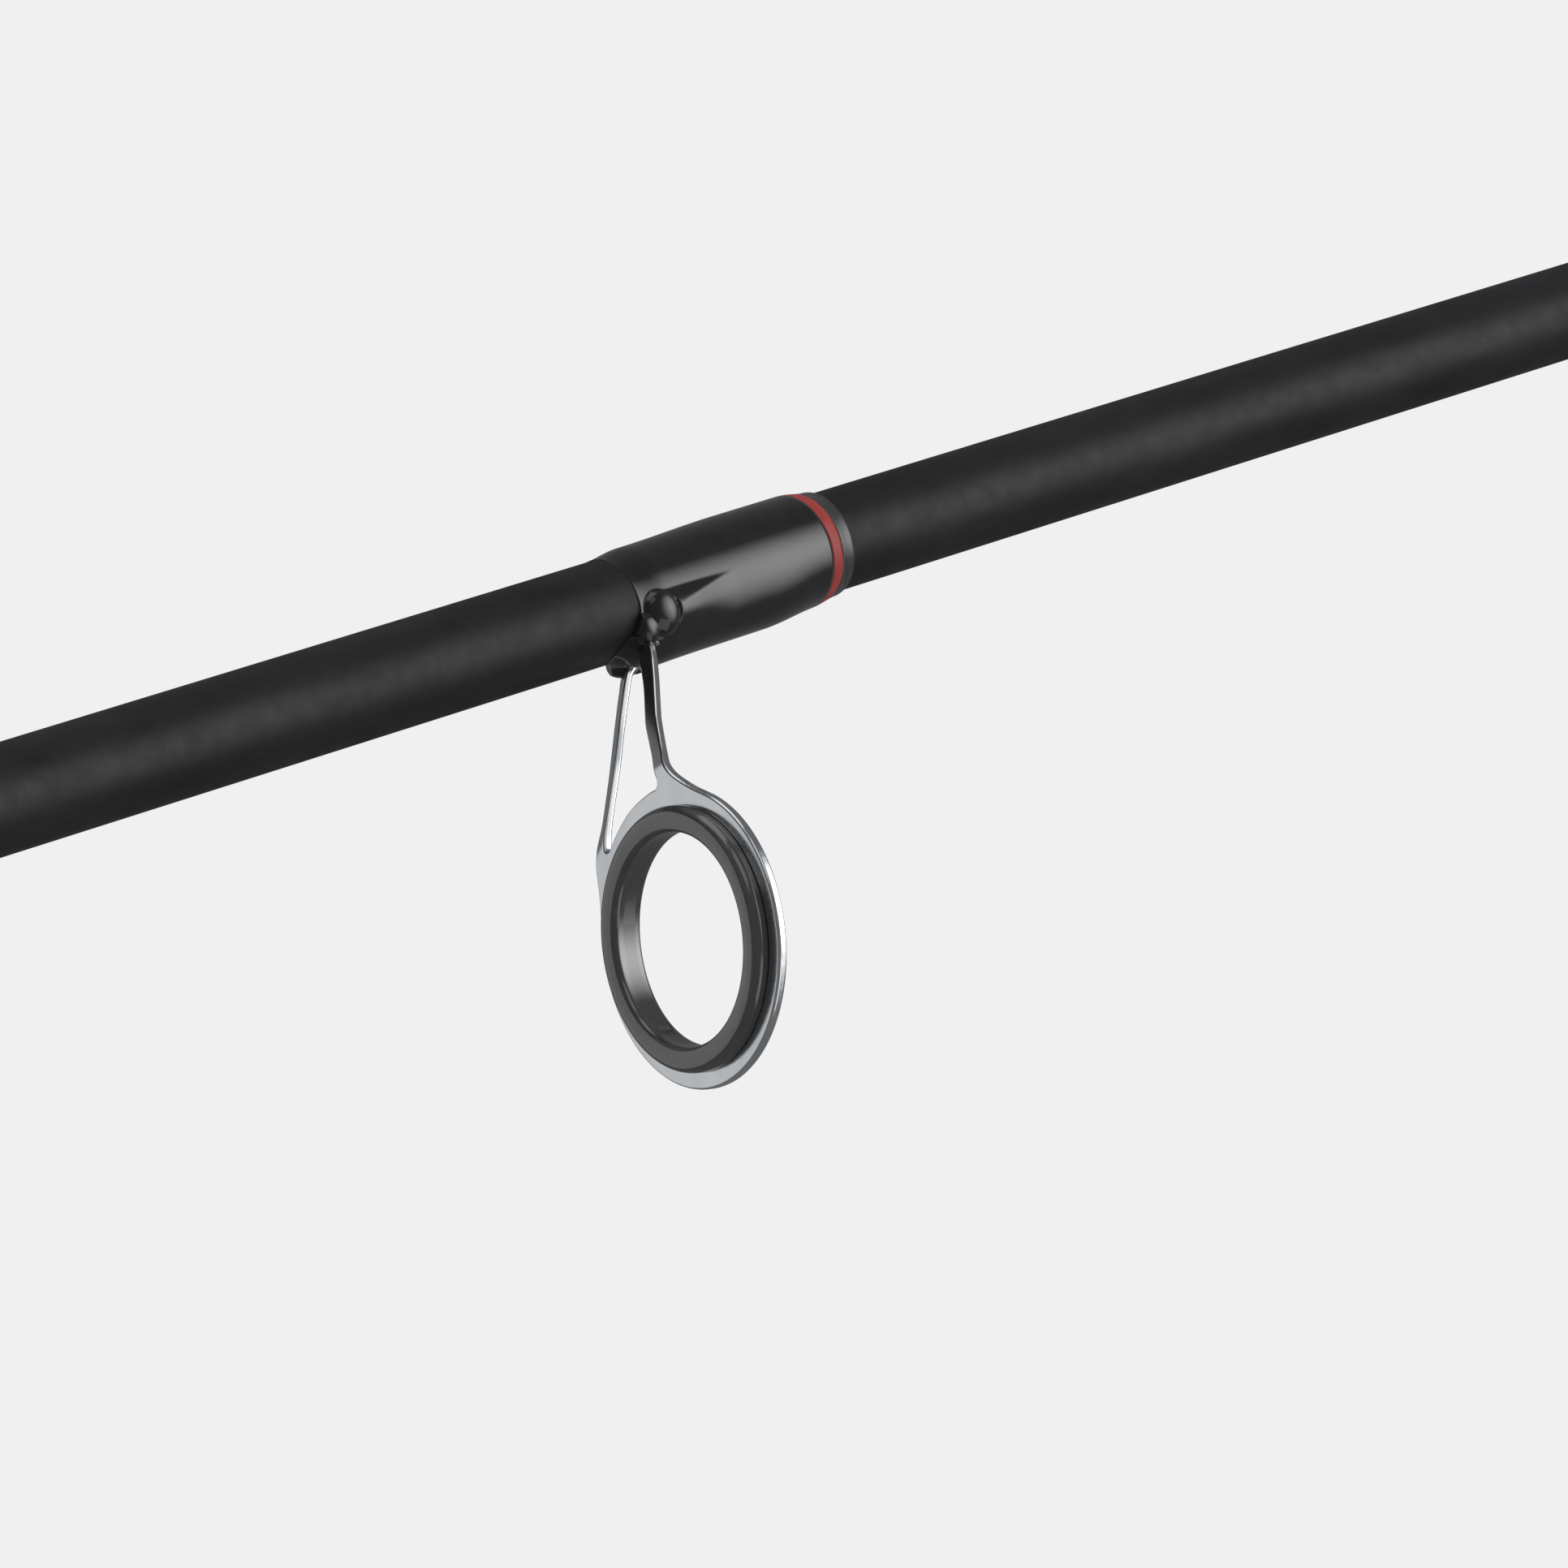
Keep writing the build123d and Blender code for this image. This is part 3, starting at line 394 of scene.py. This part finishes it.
def blank_radius(x):
    """Radius of the blank's surface, over the sleeve where there is one."""
    butt = butt_radius(x)
    if x < SLEEVE_START:
        return butt
    if x < SLEEVE_END:
        return butt + SLEEVE
    sleeve = butt_radius(SLEEVE_END) + SLEEVE
    return sleeve + (TIP_R - sleeve) * (x - SLEEVE_END) / (TIP_END - SLEEVE_END)


def smooth(t):
    """Eases from 0 to 1, and stays there outside that range."""
    t = min(1.0, max(0.0, t))
    return t * t * (3 - 2 * t)


def wrap_radius(x, s, theta, k, length):
    """Varnish surface over the thread: coat, ridge over the foot, a shelf beside the ridge that
    runs out forwards, and drops at the leg roots. s runs from the wrap's rear end, u is s on the
    pattern guide, and theta is 0 at the bottom."""
    r = blank_radius(x + s)
    u = s / length * WRAP
    coat = COAT * (0.08 + 0.66 * smooth((u + 0.3) / 3.2) + 0.44 * smooth((u - 3.0) / 10.0))
    coat *= 0.45 + 0.55 * smooth((WRAP - u) / 2.6)
    lateral = r * theta
    ridge = RIDGE_H * min(k, 1.0) * (1 - 0.42 * smooth(u / 14))
    ridge *= (1 - smooth((u - 13.5) / 7.0)) * smooth((u + 2.6) / 2.7)
    r += coat + ridge * math.exp(-(lateral / (RIDGE_W * max(k, 0.6))) ** 2)
    shelf = SHELF_H * min(k, 1.0) * smooth((u - 0.6) / 1.6) * (1 - smooth((u - 3.0) / 6.8))
    for side in (-1, 1):
        off = (side * lateral - (3.78 + 0.07 * u) * k) / ((1.6 - 0.165 * min(u, 9.0)) * k)
        fall = min(1.0, max(0.0, 0.5 - off))
        step = shelf * (0.75 * fall + 0.25 * smooth(fall)) * smooth((side * lateral / k - 1.0) / 2.2)
        dome = 0.0
        for ahead, across, size, height in DROPS:
            part = 1 - ((s / k - ahead) ** 2 + (side * lateral / k - across) ** 2) / size ** 2
            if part > 0:
                dome = max(dome, height * k * math.sqrt(part) * smooth(part / 0.3))
        r += dome + step * (1 - smooth(dome / (0.4 * k)))
    return r


def wrap_piece(name, x, k, u0, u1, rows, cols=240, mirror=False):
    """A stretch of the wrap's surface from u0 to u1, closed towards the blank at both ends."""
    length = WRAP * max(k, 0.55)
    verts = []
    for i in range(-2, rows + 2):
        t = min(1.0, max(0.0, i / (rows - 1)))
        sink = 1 if i < 0 or i > rows - 1 else 0
        for j in range(cols):
            theta = 2 * math.pi * j / cols
            turn = theta if theta <= math.pi else theta - 2 * math.pi
            lateral = blank_radius(x) * turn
            ahead = -2.4 * k * math.exp(-(lateral / (2.2 * k)) ** 2) if u0 == 0 else 0.0
            run = 0.3 * t + 0.7 * t * t if u0 == 0 else t
            s = (u0 + (u1 - u0) * run) / WRAP * length
            s += ahead * (1 - t) ** 3
            if u0 == 0 and i < 0:
                s -= 0.02
            r = wrap_radius(x, s, turn, k, length)
            if sink:
                r = blank_radius(x + s) - SINK * (2 if i in (-2, rows + 1) else 1)
            if mirror:
                r += blank_radius(x - s) - blank_radius(x + s)
            sx = x - s if mirror else x + s
            verts.append((sx, r * math.sin(turn), -r * math.cos(turn)))
    obj = new_mesh(name, verts, grid_faces(rows + 4, cols))
    fix_normals(obj)
    return obj


# ------------------------------------------------------------------ materials
def material(name, base, rough, metal=0.0, coat=0.0, coat_rough=0.03, spec=0.5):
    """A new material with its constant values set: the material, its tree and its shader."""
    mat = bpy.data.materials.new(name)
    mat.use_nodes = True
    shader = mat.node_tree.nodes["Principled BSDF"]
    shader.inputs["Base Color"].default_value = (*base, 1)
    shader.inputs["Roughness"].default_value = rough
    shader.inputs["Metallic"].default_value = metal
    shader.inputs["Coat Weight"].default_value = coat
    shader.inputs["Coat Roughness"].default_value = coat_rough
    shader.inputs["Specular IOR Level"].default_value = spec
    return mat, mat.node_tree, shader


def node(tree, kind, **values):
    """A new node, with values for its sockets or its properties."""
    n = tree.nodes.new(kind)
    for key, value in values.items():
        if key in n.inputs:
            n.inputs[key].default_value = value
        else:
            setattr(n, key, value)
    return n


def object_coords(tree, scale=(1, 1, 1)):
    """Object coordinates in metres, stretched by scale."""
    coords = node(tree, "ShaderNodeTexCoord")
    mapping = node(tree, "ShaderNodeMapping")
    mapping.inputs["Scale"].default_value = scale
    tree.links.new(coords.outputs["Object"], mapping.inputs["Vector"])
    return mapping.outputs["Vector"]


def noise(tree, vector, scale, detail=4.0, rough=0.6):
    """A noise value at scale cells per metre."""
    n = node(tree, "ShaderNodeTexNoise", Scale=scale, Detail=detail, Roughness=rough)
    tree.links.new(vector, n.inputs["Vector"])
    return n.outputs["Fac"]


def ramp_to(tree, fac, socket, low, high, at=(0.3, 0.7)):
    """Maps a 0 to 1 value to a range or to two colours, and links it."""
    if isinstance(low, tuple):
        r = node(tree, "ShaderNodeValToRGB")
        r.color_ramp.elements[0].position, r.color_ramp.elements[1].position = at
        r.color_ramp.elements[0].color = (*low, 1)
        r.color_ramp.elements[1].color = (*high, 1)
        tree.links.new(fac, r.inputs["Fac"])
        tree.links.new(r.outputs["Color"], socket)
        return
    m = node(tree, "ShaderNodeMapRange")
    m.inputs["From Min"].default_value, m.inputs["From Max"].default_value = at
    m.inputs["To Min"].default_value, m.inputs["To Max"].default_value = low, high
    tree.links.new(fac, m.inputs["Value"])
    tree.links.new(m.outputs["Result"], socket)


def bump(tree, shader, fac, strength, distance, coat=False):
    """Bump of distance metres from a 0 to 1 height, on the coat too if asked."""
    b = node(tree, "ShaderNodeBump", Strength=strength, Distance=distance)
    tree.links.new(fac, b.inputs["Height"])
    tree.links.new(b.outputs["Normal"], shader.inputs["Normal"])
    if coat:
        tree.links.new(b.outputs["Normal"], shader.inputs["Coat Normal"])


def mat_blank():
    """Matt black varnish over carbon: soft mottling and fine specks."""
    mat, tree, shader = material("blank_satin", (0.016, 0.0165, 0.018), 0.42, spec=0.22)
    v = object_coords(tree)
    cloud = noise(tree, object_coords(tree, (0.35, 1, 1)), 260, 5, 0.65)
    ramp_to(tree, cloud, shader.inputs["Base Color"], (0.0085, 0.0085, 0.0088),
            (0.0145, 0.0147, 0.0163), (0.35, 0.72))
    ramp_to(tree, noise(tree, v, 620, 3, 0.6), shader.inputs["Roughness"], 0.42, 0.54)
    bump(tree, shader, noise(tree, v, 5200, 2, 0.5), 0.10, 0.00003)
    return mat


def mat_wrap():
    """Black thread under clear glossy varnish, with a slow waviness in the varnish."""
    mat, tree, shader = material("wrap_gloss", (0.004, 0.004, 0.0045), 0.4, coat=1.0,
                                 coat_rough=0.06, spec=0.2)
    v = object_coords(tree)
    ramp_to(tree, noise(tree, v, 900, 3), shader.inputs["Base Color"], (0.003, 0.003, 0.0032),
            (0.0065, 0.0065, 0.007))
    bump(tree, shader, noise(tree, v, 330, 2, 0.4), 0.12, 0.0002, coat=True)
    return mat


def mat_margin():
    """Clear varnish past the thread, slightly smoky over the blank."""
    mat, tree, shader = material("varnish_margin", (0.03, 0.03, 0.031), 0.35, coat=0.45,
                                 coat_rough=0.1)
    ramp_to(tree, noise(tree, object_coords(tree, (6, 1, 1)), 500, 3), shader.inputs["Base Color"],
            (0.012, 0.012, 0.0125), (0.036, 0.036, 0.037))
    return mat


def mat_trim():
    """Red thread, laid side by side, under varnish."""
    mat, tree, shader = material("trim_thread", (0.28, 0.04, 0.035), 0.5, coat=0.25,
                                 coat_rough=0.12, spec=0.15)
    v = object_coords(tree)
    ramp_to(tree, noise(tree, object_coords(tree, (9, 1, 1)), 700, 4), shader.inputs["Base Color"],
            (0.19, 0.022, 0.02), (0.29, 0.042, 0.036))
    wave = node(tree, "ShaderNodeTexWave", wave_type="BANDS", bands_direction="X", Scale=1000.0)
    tree.links.new(v, wave.inputs["Vector"])
    bump(tree, shader, wave.outputs["Fac"], 0.25, 0.00003)
    return mat


def mat_steel():
    """Polished stamped stainless steel with faint polishing lines."""
    mat, tree, shader = material("steel_polished", (0.74, 0.76, 0.78), 0.10, metal=1.0)
    v = object_coords(tree)
    lines = noise(tree, object_coords(tree, (1, 1, 5)), 900, 4)
    ramp_to(tree, lines, shader.inputs["Roughness"], 0.12, 0.21)
    ramp_to(tree, noise(tree, v, 300, 3), shader.inputs["Base Color"], (0.70, 0.73, 0.76),
            (0.80, 0.81, 0.82))
    bump(tree, shader, noise(tree, v, 160, 1, 0.3), 0.02, 0.0001)
    return mat


def mat_ceramic():
    """Dark grey polished ceramic."""
    mat, tree, shader = material("ceramic_dark", (0.03, 0.03, 0.031), 0.12)
    shader.inputs["IOR"].default_value = 2.0
    v = object_coords(tree)
    ramp_to(tree, noise(tree, v, 1500, 4), shader.inputs["Base Color"], (0.026, 0.025, 0.025),
            (0.036, 0.035, 0.034))
    ramp_to(tree, noise(tree, v, 700, 3), shader.inputs["Roughness"], 0.13, 0.19)
    return mat


def mat_foam():
    """Closed-cell foam: dull, with fine pores."""
    mat, tree, shader = material("eva_foam", (0.02, 0.02, 0.021), 0.8, spec=0.3)
    v = object_coords(tree)
    ramp_to(tree, noise(tree, v, 900, 6), shader.inputs["Base Color"], (0.014, 0.014, 0.015),
            (0.034, 0.034, 0.036))
    bump(tree, shader, noise(tree, v, 2600, 4, 0.7), 0.5, 0.0001)
    return mat


def mat_plain(name, base, rough, metal=0.0, grain=1200.0, depth=0.06, coat=0.0, spread=0.12,
              stretch=(1, 1, 1)):
    """Moulded, painted or machined surface: base colour with small variation, grain and bump."""
    mat, tree, shader = material(name, base, rough, metal=metal, coat=coat)
    v = object_coords(tree, stretch)
    low = tuple(c * (1 - spread) for c in base)
    high = tuple(min(1.0, c * (1 + spread)) for c in base)
    ramp_to(tree, noise(tree, v, grain, 5), shader.inputs["Base Color"], low, high)
    ramp_to(tree, noise(tree, v, grain, 4), shader.inputs["Roughness"], rough * 0.85, min(1.0, rough * 1.2))
    bump(tree, shader, noise(tree, v, grain * 2, 3), depth, 0.00005)
    return mat


MATS = {
    "blank": mat_blank(), "wrap": mat_wrap(), "trim_thread": mat_trim(), "steel": mat_steel(),
    "ceramic": mat_ceramic(), "foam": mat_foam(), "margin": mat_margin(),
    "seat": mat_plain("seat_plastic", (0.02, 0.02, 0.022), 0.32, depth=0.05, coat=0.2),
    "metal_trim": mat_plain("anodised_gunmetal", (0.32, 0.33, 0.35), 0.28, 1.0, 1500, 0.05,
                            spread=0.1, stretch=(6, 1, 1)),
    "housing": mat_plain("painted_black", (0.018, 0.018, 0.02), 0.38, depth=0.12, coat=0.25),
    "reel_grey": mat_plain("painted_grey", (0.10, 0.103, 0.108), 0.35, depth=0.1, coat=0.3),
    "spool_metal": mat_plain("spool_anodised", (0.09, 0.09, 0.095), 0.25, 1.0, 1500, 0.04,
                             stretch=(6, 1, 1)),
    "machined": mat_plain("machined_steel", (0.56, 0.57, 0.58), 0.22, 1.0, 1500, 0.05, spread=0.08),
    "brass": mat_plain("machined_brass", (0.60, 0.44, 0.18), 0.28, 1.0, 1500, 0.05, spread=0.08),
    "washer": mat_plain("drag_felt", (0.18, 0.17, 0.15), 0.8, 0.0, 3000, 0.3),
    "knob": mat_plain("soft_knob", (0.024, 0.024, 0.026), 0.6, 0.0, 2500, 0.25),
}
BODY_OF = {n: b for b, ns in frame["record"]["behaviour"]["bodies"].items() for n in ns}
SLOT_OF = {s["node"]: s["material_slot"] for s in frame["record"]["subparts"]}


def dress(obj, mat_name):
    """The object wears one material."""
    obj.data.materials.clear()
    obj.data.materials.append(MATS[mat_name])


def join(obj, node_name, mat_name=None):
    """The piece takes the node's body, and the finish of the node's slot unless another is given."""
    dress(obj, mat_name or SLOT_OF[node_name])
    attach(obj, BODY_OF[node_name])


def stand_for(obj, node_name):
    """The piece takes the node's body, finish and place."""
    join(obj, node_name)
    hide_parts(node_name)


# ------------------------------------------------------------------ rod pieces
def make_blanks():
    """Butt section, a tube, and tip section, with its sleeve and a chamfered rear edge."""
    outer = [(x, butt_radius(x)) for x in np.linspace(BUTT_END + 4.0, SLEEVE_END - 1.0, 40)]
    inner = [(x, r - BUTT_WALL) for x, r in (outer[-1], outer[0])]
    stand_for(lathe_x("butt_section", outer + inner), "butt_blank")
    front, core = TIP_END - 4.0, 0.02
    xs = [SLEEVE_START + 0.6] + list(np.linspace(SLEEVE_START + 8.0, SLEEVE_END, 6))
    xs += list(np.linspace(SLEEVE_END + 23.0, front, 34))
    outer = [(SLEEVE_START, blank_radius(SLEEVE_START) - 0.15)] + [(x, blank_radius(x)) for x in xs]
    inner = [(front, core), (HOLLOW_END, core), (HOLLOW_END, blank_radius(HOLLOW_END) - 1.4),
             (SLEEVE_END, SLEEVE_BORE), (SLEEVE_START, SLEEVE_BORE + 0.15)]
    stand_for(lathe_x("tip_section", outer + inner), "tip_blank")


def guide_facts(name):
    """Where a guide's wrap begins and its size against the pattern, from the frame's ring."""
    low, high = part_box(name + "_ring")
    k = (high[1] - low[1]) / MM / PATTERN_OD
    centre = (low[0] + high[0]) / 2 / MM
    x = centre + BACK * k + REACH * k * math.sin(LEAN) + 0.2 * k
    return round(x, 1), k


def make_rear_foot(name, x, k):
    """Second foot of the largest guide, behind the ring, with its own wrap."""
    place, length = brace_place(x, blank_radius(x), k)
    top = length - 0.1
    outline = rounded([(-0.6, 0.0, 0), (0.6, 0.0, 0), (1.3, 6.0, 3), (2.1, 13.0, 6), (2.1, top, 0),
                       (-2.1, top, 0), (-2.1, 13.0, 6), (-1.3, 6.0, 3)])
    brace = sheet_piece(name + "_brace", resample(outline, 0.3), [], place, SHEET, EDGE)
    wrap = wrap_piece(name + "_rear_wrap", x - REAR_FOOT * k, k, 0.0, WRAP, 90, mirror=True)
    join(brace, name + "_frame")
    join(wrap, name + "_wrap")


def make_guide(name):
    """Sheet, ring, wrap, varnish margin and trim band of one guide. Returns the trim band."""
    x, k = guide_facts(name)
    blank_r = blank_radius(x)
    step = 0.15 if name == CLOSE_GUIDE else 0.3
    outline = resample(guide_outline(), step)
    window = resample(guide_window(), step)
    hole = np.array([(SEAT_R * math.cos(a), SEAT_R * math.sin(a))
                     for a in np.linspace(0, 2 * math.pi, 160, endpoint=False)])
    fine = 0.35 if name == CLOSE_GUIDE else 0.7
    sheet = sheet_piece(name + "_sheet", outline, [hole, window], guide_place(x, blank_r, k),
                        SHEET, EDGE, fine)
    stand_for(sheet, name + "_frame")
    ring = lathe_x(name + "_insert", ring_profile(k), place=ring_place(x, blank_r, k))
    stand_for(ring, name + "_ring")
    wrap = wrap_piece(name + "_thread_wrap", x, k, 0.0, TRIM_AT, 150)
    stand_for(wrap, name + "_wrap")
    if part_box(name + "_frame")[0][0] < (x - REAR_FOOT * k) * MM:
        make_rear_foot(name, x, k)
    margin = wrap_piece(name + "_varnish_margin", x, k, TRIM_AT + TRIM_W, WRAP, 8)
    join(margin, name + "_wrap", "margin")
    trim = wrap_piece(name + "_trim", x, k, TRIM_AT, TRIM_AT + TRIM_W, 6)
    dress(trim, "trim_thread")
    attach(trim, BODY_OF[name + "_wrap"])
    return trim


def carry_over():
    """Materials for the CAD nodes that keep their own shape."""
    for name, obj in frame["nodes"].items():
        dress(obj, SLOT_OF[name])


# ------------------------------------------------------------------ stage
GUIDE_X = 722.0          # rear end of the close guide's wrap
AIM_RIGHT, AIM_DOWN = 13.254, 12.921  # from there to the middle of the view
FIELD = 116.928          # width of the view at the guide
DISTANCE = 1590.8        # camera to the guide
SENSOR = 36.0
VIEW_DIR = Vector((0.6606, 0.6798, 0.3185)).normalized()
ROLL = math.radians(-35.03)
MIDDLE_X = (cad_box[0][0] + cad_box[1][0]) / 2 / MM


def make_camera():
    """A long lens on the close guide, from below and behind, rolled as the rod is held."""
    forward = VIEW_DIR
    level = forward.cross(Vector((0, 0, 1))).normalized()
    upright = level.cross(forward)
    right = level * math.cos(ROLL) + upright * math.sin(ROLL)
    up = right.cross(forward)
    target = Vector((GUIDE_X, 0, 0)) + right * AIM_RIGHT - up * AIM_DOWN
    eye = (target - forward * DISTANCE) * MM
    data = bpy.data.cameras.new("camera")
    data.sensor_width = SENSOR
    data.lens = SENSOR * DISTANCE / FIELD
    data.clip_start, data.clip_end = 0.01, 60.0
    cam = bpy.data.objects.new("camera", data)
    bpy.context.scene.collection.objects.link(cam)
    m = Matrix((right, up, -forward)).transposed().to_4x4()
    m.translation = eye
    cam.matrix_world = m
    bpy.context.scene.camera = cam


def area_light(name, direction, distance, size, power, centre, size_y=None, disc=False):
    """A soft box at a distance from centre, along direction, facing it."""
    data = bpy.data.lights.new(name, "AREA")
    data.shape = "ELLIPSE" if disc else "RECTANGLE"
    data.size, data.size_y = size, size_y or size
    data.energy = power
    obj = bpy.data.objects.new(name, data)
    d = Vector(direction).normalized()
    obj.location = Vector(centre) * MM + d * distance
    obj.rotation_euler = d.to_track_quat("Z", "Y").to_euler()
    obj.visible_camera = False
    bpy.context.scene.collection.objects.link(obj)
    return obj


def fading_light(name, direction, distance, radius, radiance, centre):
    """A round soft box that is bright in its middle and fades to nothing at its rim."""
    power = radiance * (math.pi * radius) ** 2
    obj = area_light(name, direction, distance, 2 * radius, power, centre, disc=True)
    obj.data.use_nodes = True
    tree = obj.data.node_tree
    across = node(tree, "ShaderNodeNewGeometry").outputs["Parametric"]
    middle = node(tree, "ShaderNodeVectorMath", operation="DISTANCE")
    middle.inputs[1].default_value = (0.5, 0.5, 0.0)
    tree.links.new(across, middle.inputs[0])
    fade = node(tree, "ShaderNodeMapRange", interpolation_type="SMOOTHSTEP")
    fade.inputs["From Min"].default_value, fade.inputs["From Max"].default_value = 0.0, 0.5
    fade.inputs["To Min"].default_value, fade.inputs["To Max"].default_value = 1.0, 0.0
    tree.links.new(middle.outputs["Value"], fade.inputs["Value"])
    tree.links.new(fade.outputs["Result"], tree.nodes["Emission"].inputs["Strength"])


def make_world():
    """A studio that is pale to the camera and dim in reflections."""
    world = bpy.data.worlds.new("studio")
    bpy.context.scene.world = world
    world.use_nodes = True
    tree = world.node_tree
    back = tree.nodes["Background"]
    seen = node(tree, "ShaderNodeBackground")
    seen.inputs["Color"].default_value = (0.871, 0.871, 0.871, 1)
    back.inputs["Color"].default_value = (0.62, 0.625, 0.635, 1)
    mirrored = node(tree, "ShaderNodeBackground")
    mirrored.inputs["Color"].default_value = (0.15, 0.152, 0.157, 1)
    path = node(tree, "ShaderNodeLightPath")
    surface = back.outputs["Background"]
    for ray, shader in (("Is Glossy Ray", mirrored), ("Is Camera Ray", seen)):
        mix = node(tree, "ShaderNodeMixShader")
        tree.links.new(path.outputs[ray], mix.inputs["Fac"])
        tree.links.new(surface, mix.inputs[1])
        tree.links.new(shader.outputs["Background"], mix.inputs[2])
        surface = mix.outputs["Shader"]
    tree.links.new(surface, tree.nodes["World Output"].inputs["Surface"])


def make_floor():
    """A plain pale floor below the rod, left out of reflections."""
    size, z = 9.0, cad_box[0][2] - 1.5
    floor = new_mesh("floor", [(MIDDLE_X + sx * size / MM, sy * size / MM, z / MM)
                               for sx, sy in ((-1, -1), (1, -1), (1, 1), (-1, 1))], [(0, 1, 2, 3)])
    mat, tree, shader = material("floor_pale", (0.82, 0.82, 0.82), 0.6)
    ramp_to(tree, noise(tree, object_coords(tree), 3.0, 2), shader.inputs["Base Color"],
            (0.82, 0.82, 0.82), (0.835, 0.835, 0.835))
    floor.data.materials.append(mat)
    floor.visible_glossy = False


def make_lights():
    """Soft boxes around the close guide, and a large one over the whole rod."""
    at = (GUIDE_X, 0, -10)
    fading_light("soft_box", (0.66, -0.67, -0.34), 1.0, 0.80, 3.7, at)
    area_light("behind_top", (-0.495, 0.680, 0.541), 1.2, 1.1, 1.7, at)
    area_light("below", (0.1, -0.3, -0.95), 1.2, 0.8, 1.6, at)
    area_light("camera_side", (-0.3, -0.85, 0.4), 1.6, 0.9, 1.8, at)
    middle = (MIDDLE_X, 0, 0)
    fill = area_light("overhead", (-0.1, -0.45, 1.0), 2.6, 1.8, 36.0, middle, size_y=1.4)
    fill.visible_glossy = False
    area_light("overhead_glint", (-0.1, -0.45, 1.0), 2.4, 2.0, 8.0, middle, size_y=1.5)


bpy.context.scene.view_settings.view_transform = "Standard"
make_camera()
make_world()
make_floor()
make_lights()
carry_over()
make_blanks()
trims = {"butt": [], "tip": []}
for guide_name in GUIDE_NAMES:
    side = "butt" if BODY_OF[guide_name + "_wrap"] == "rod_butt" else "tip"
    trims[side].append(make_guide(guide_name))
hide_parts("butt_trim_threads")
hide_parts("tip_trim_threads")
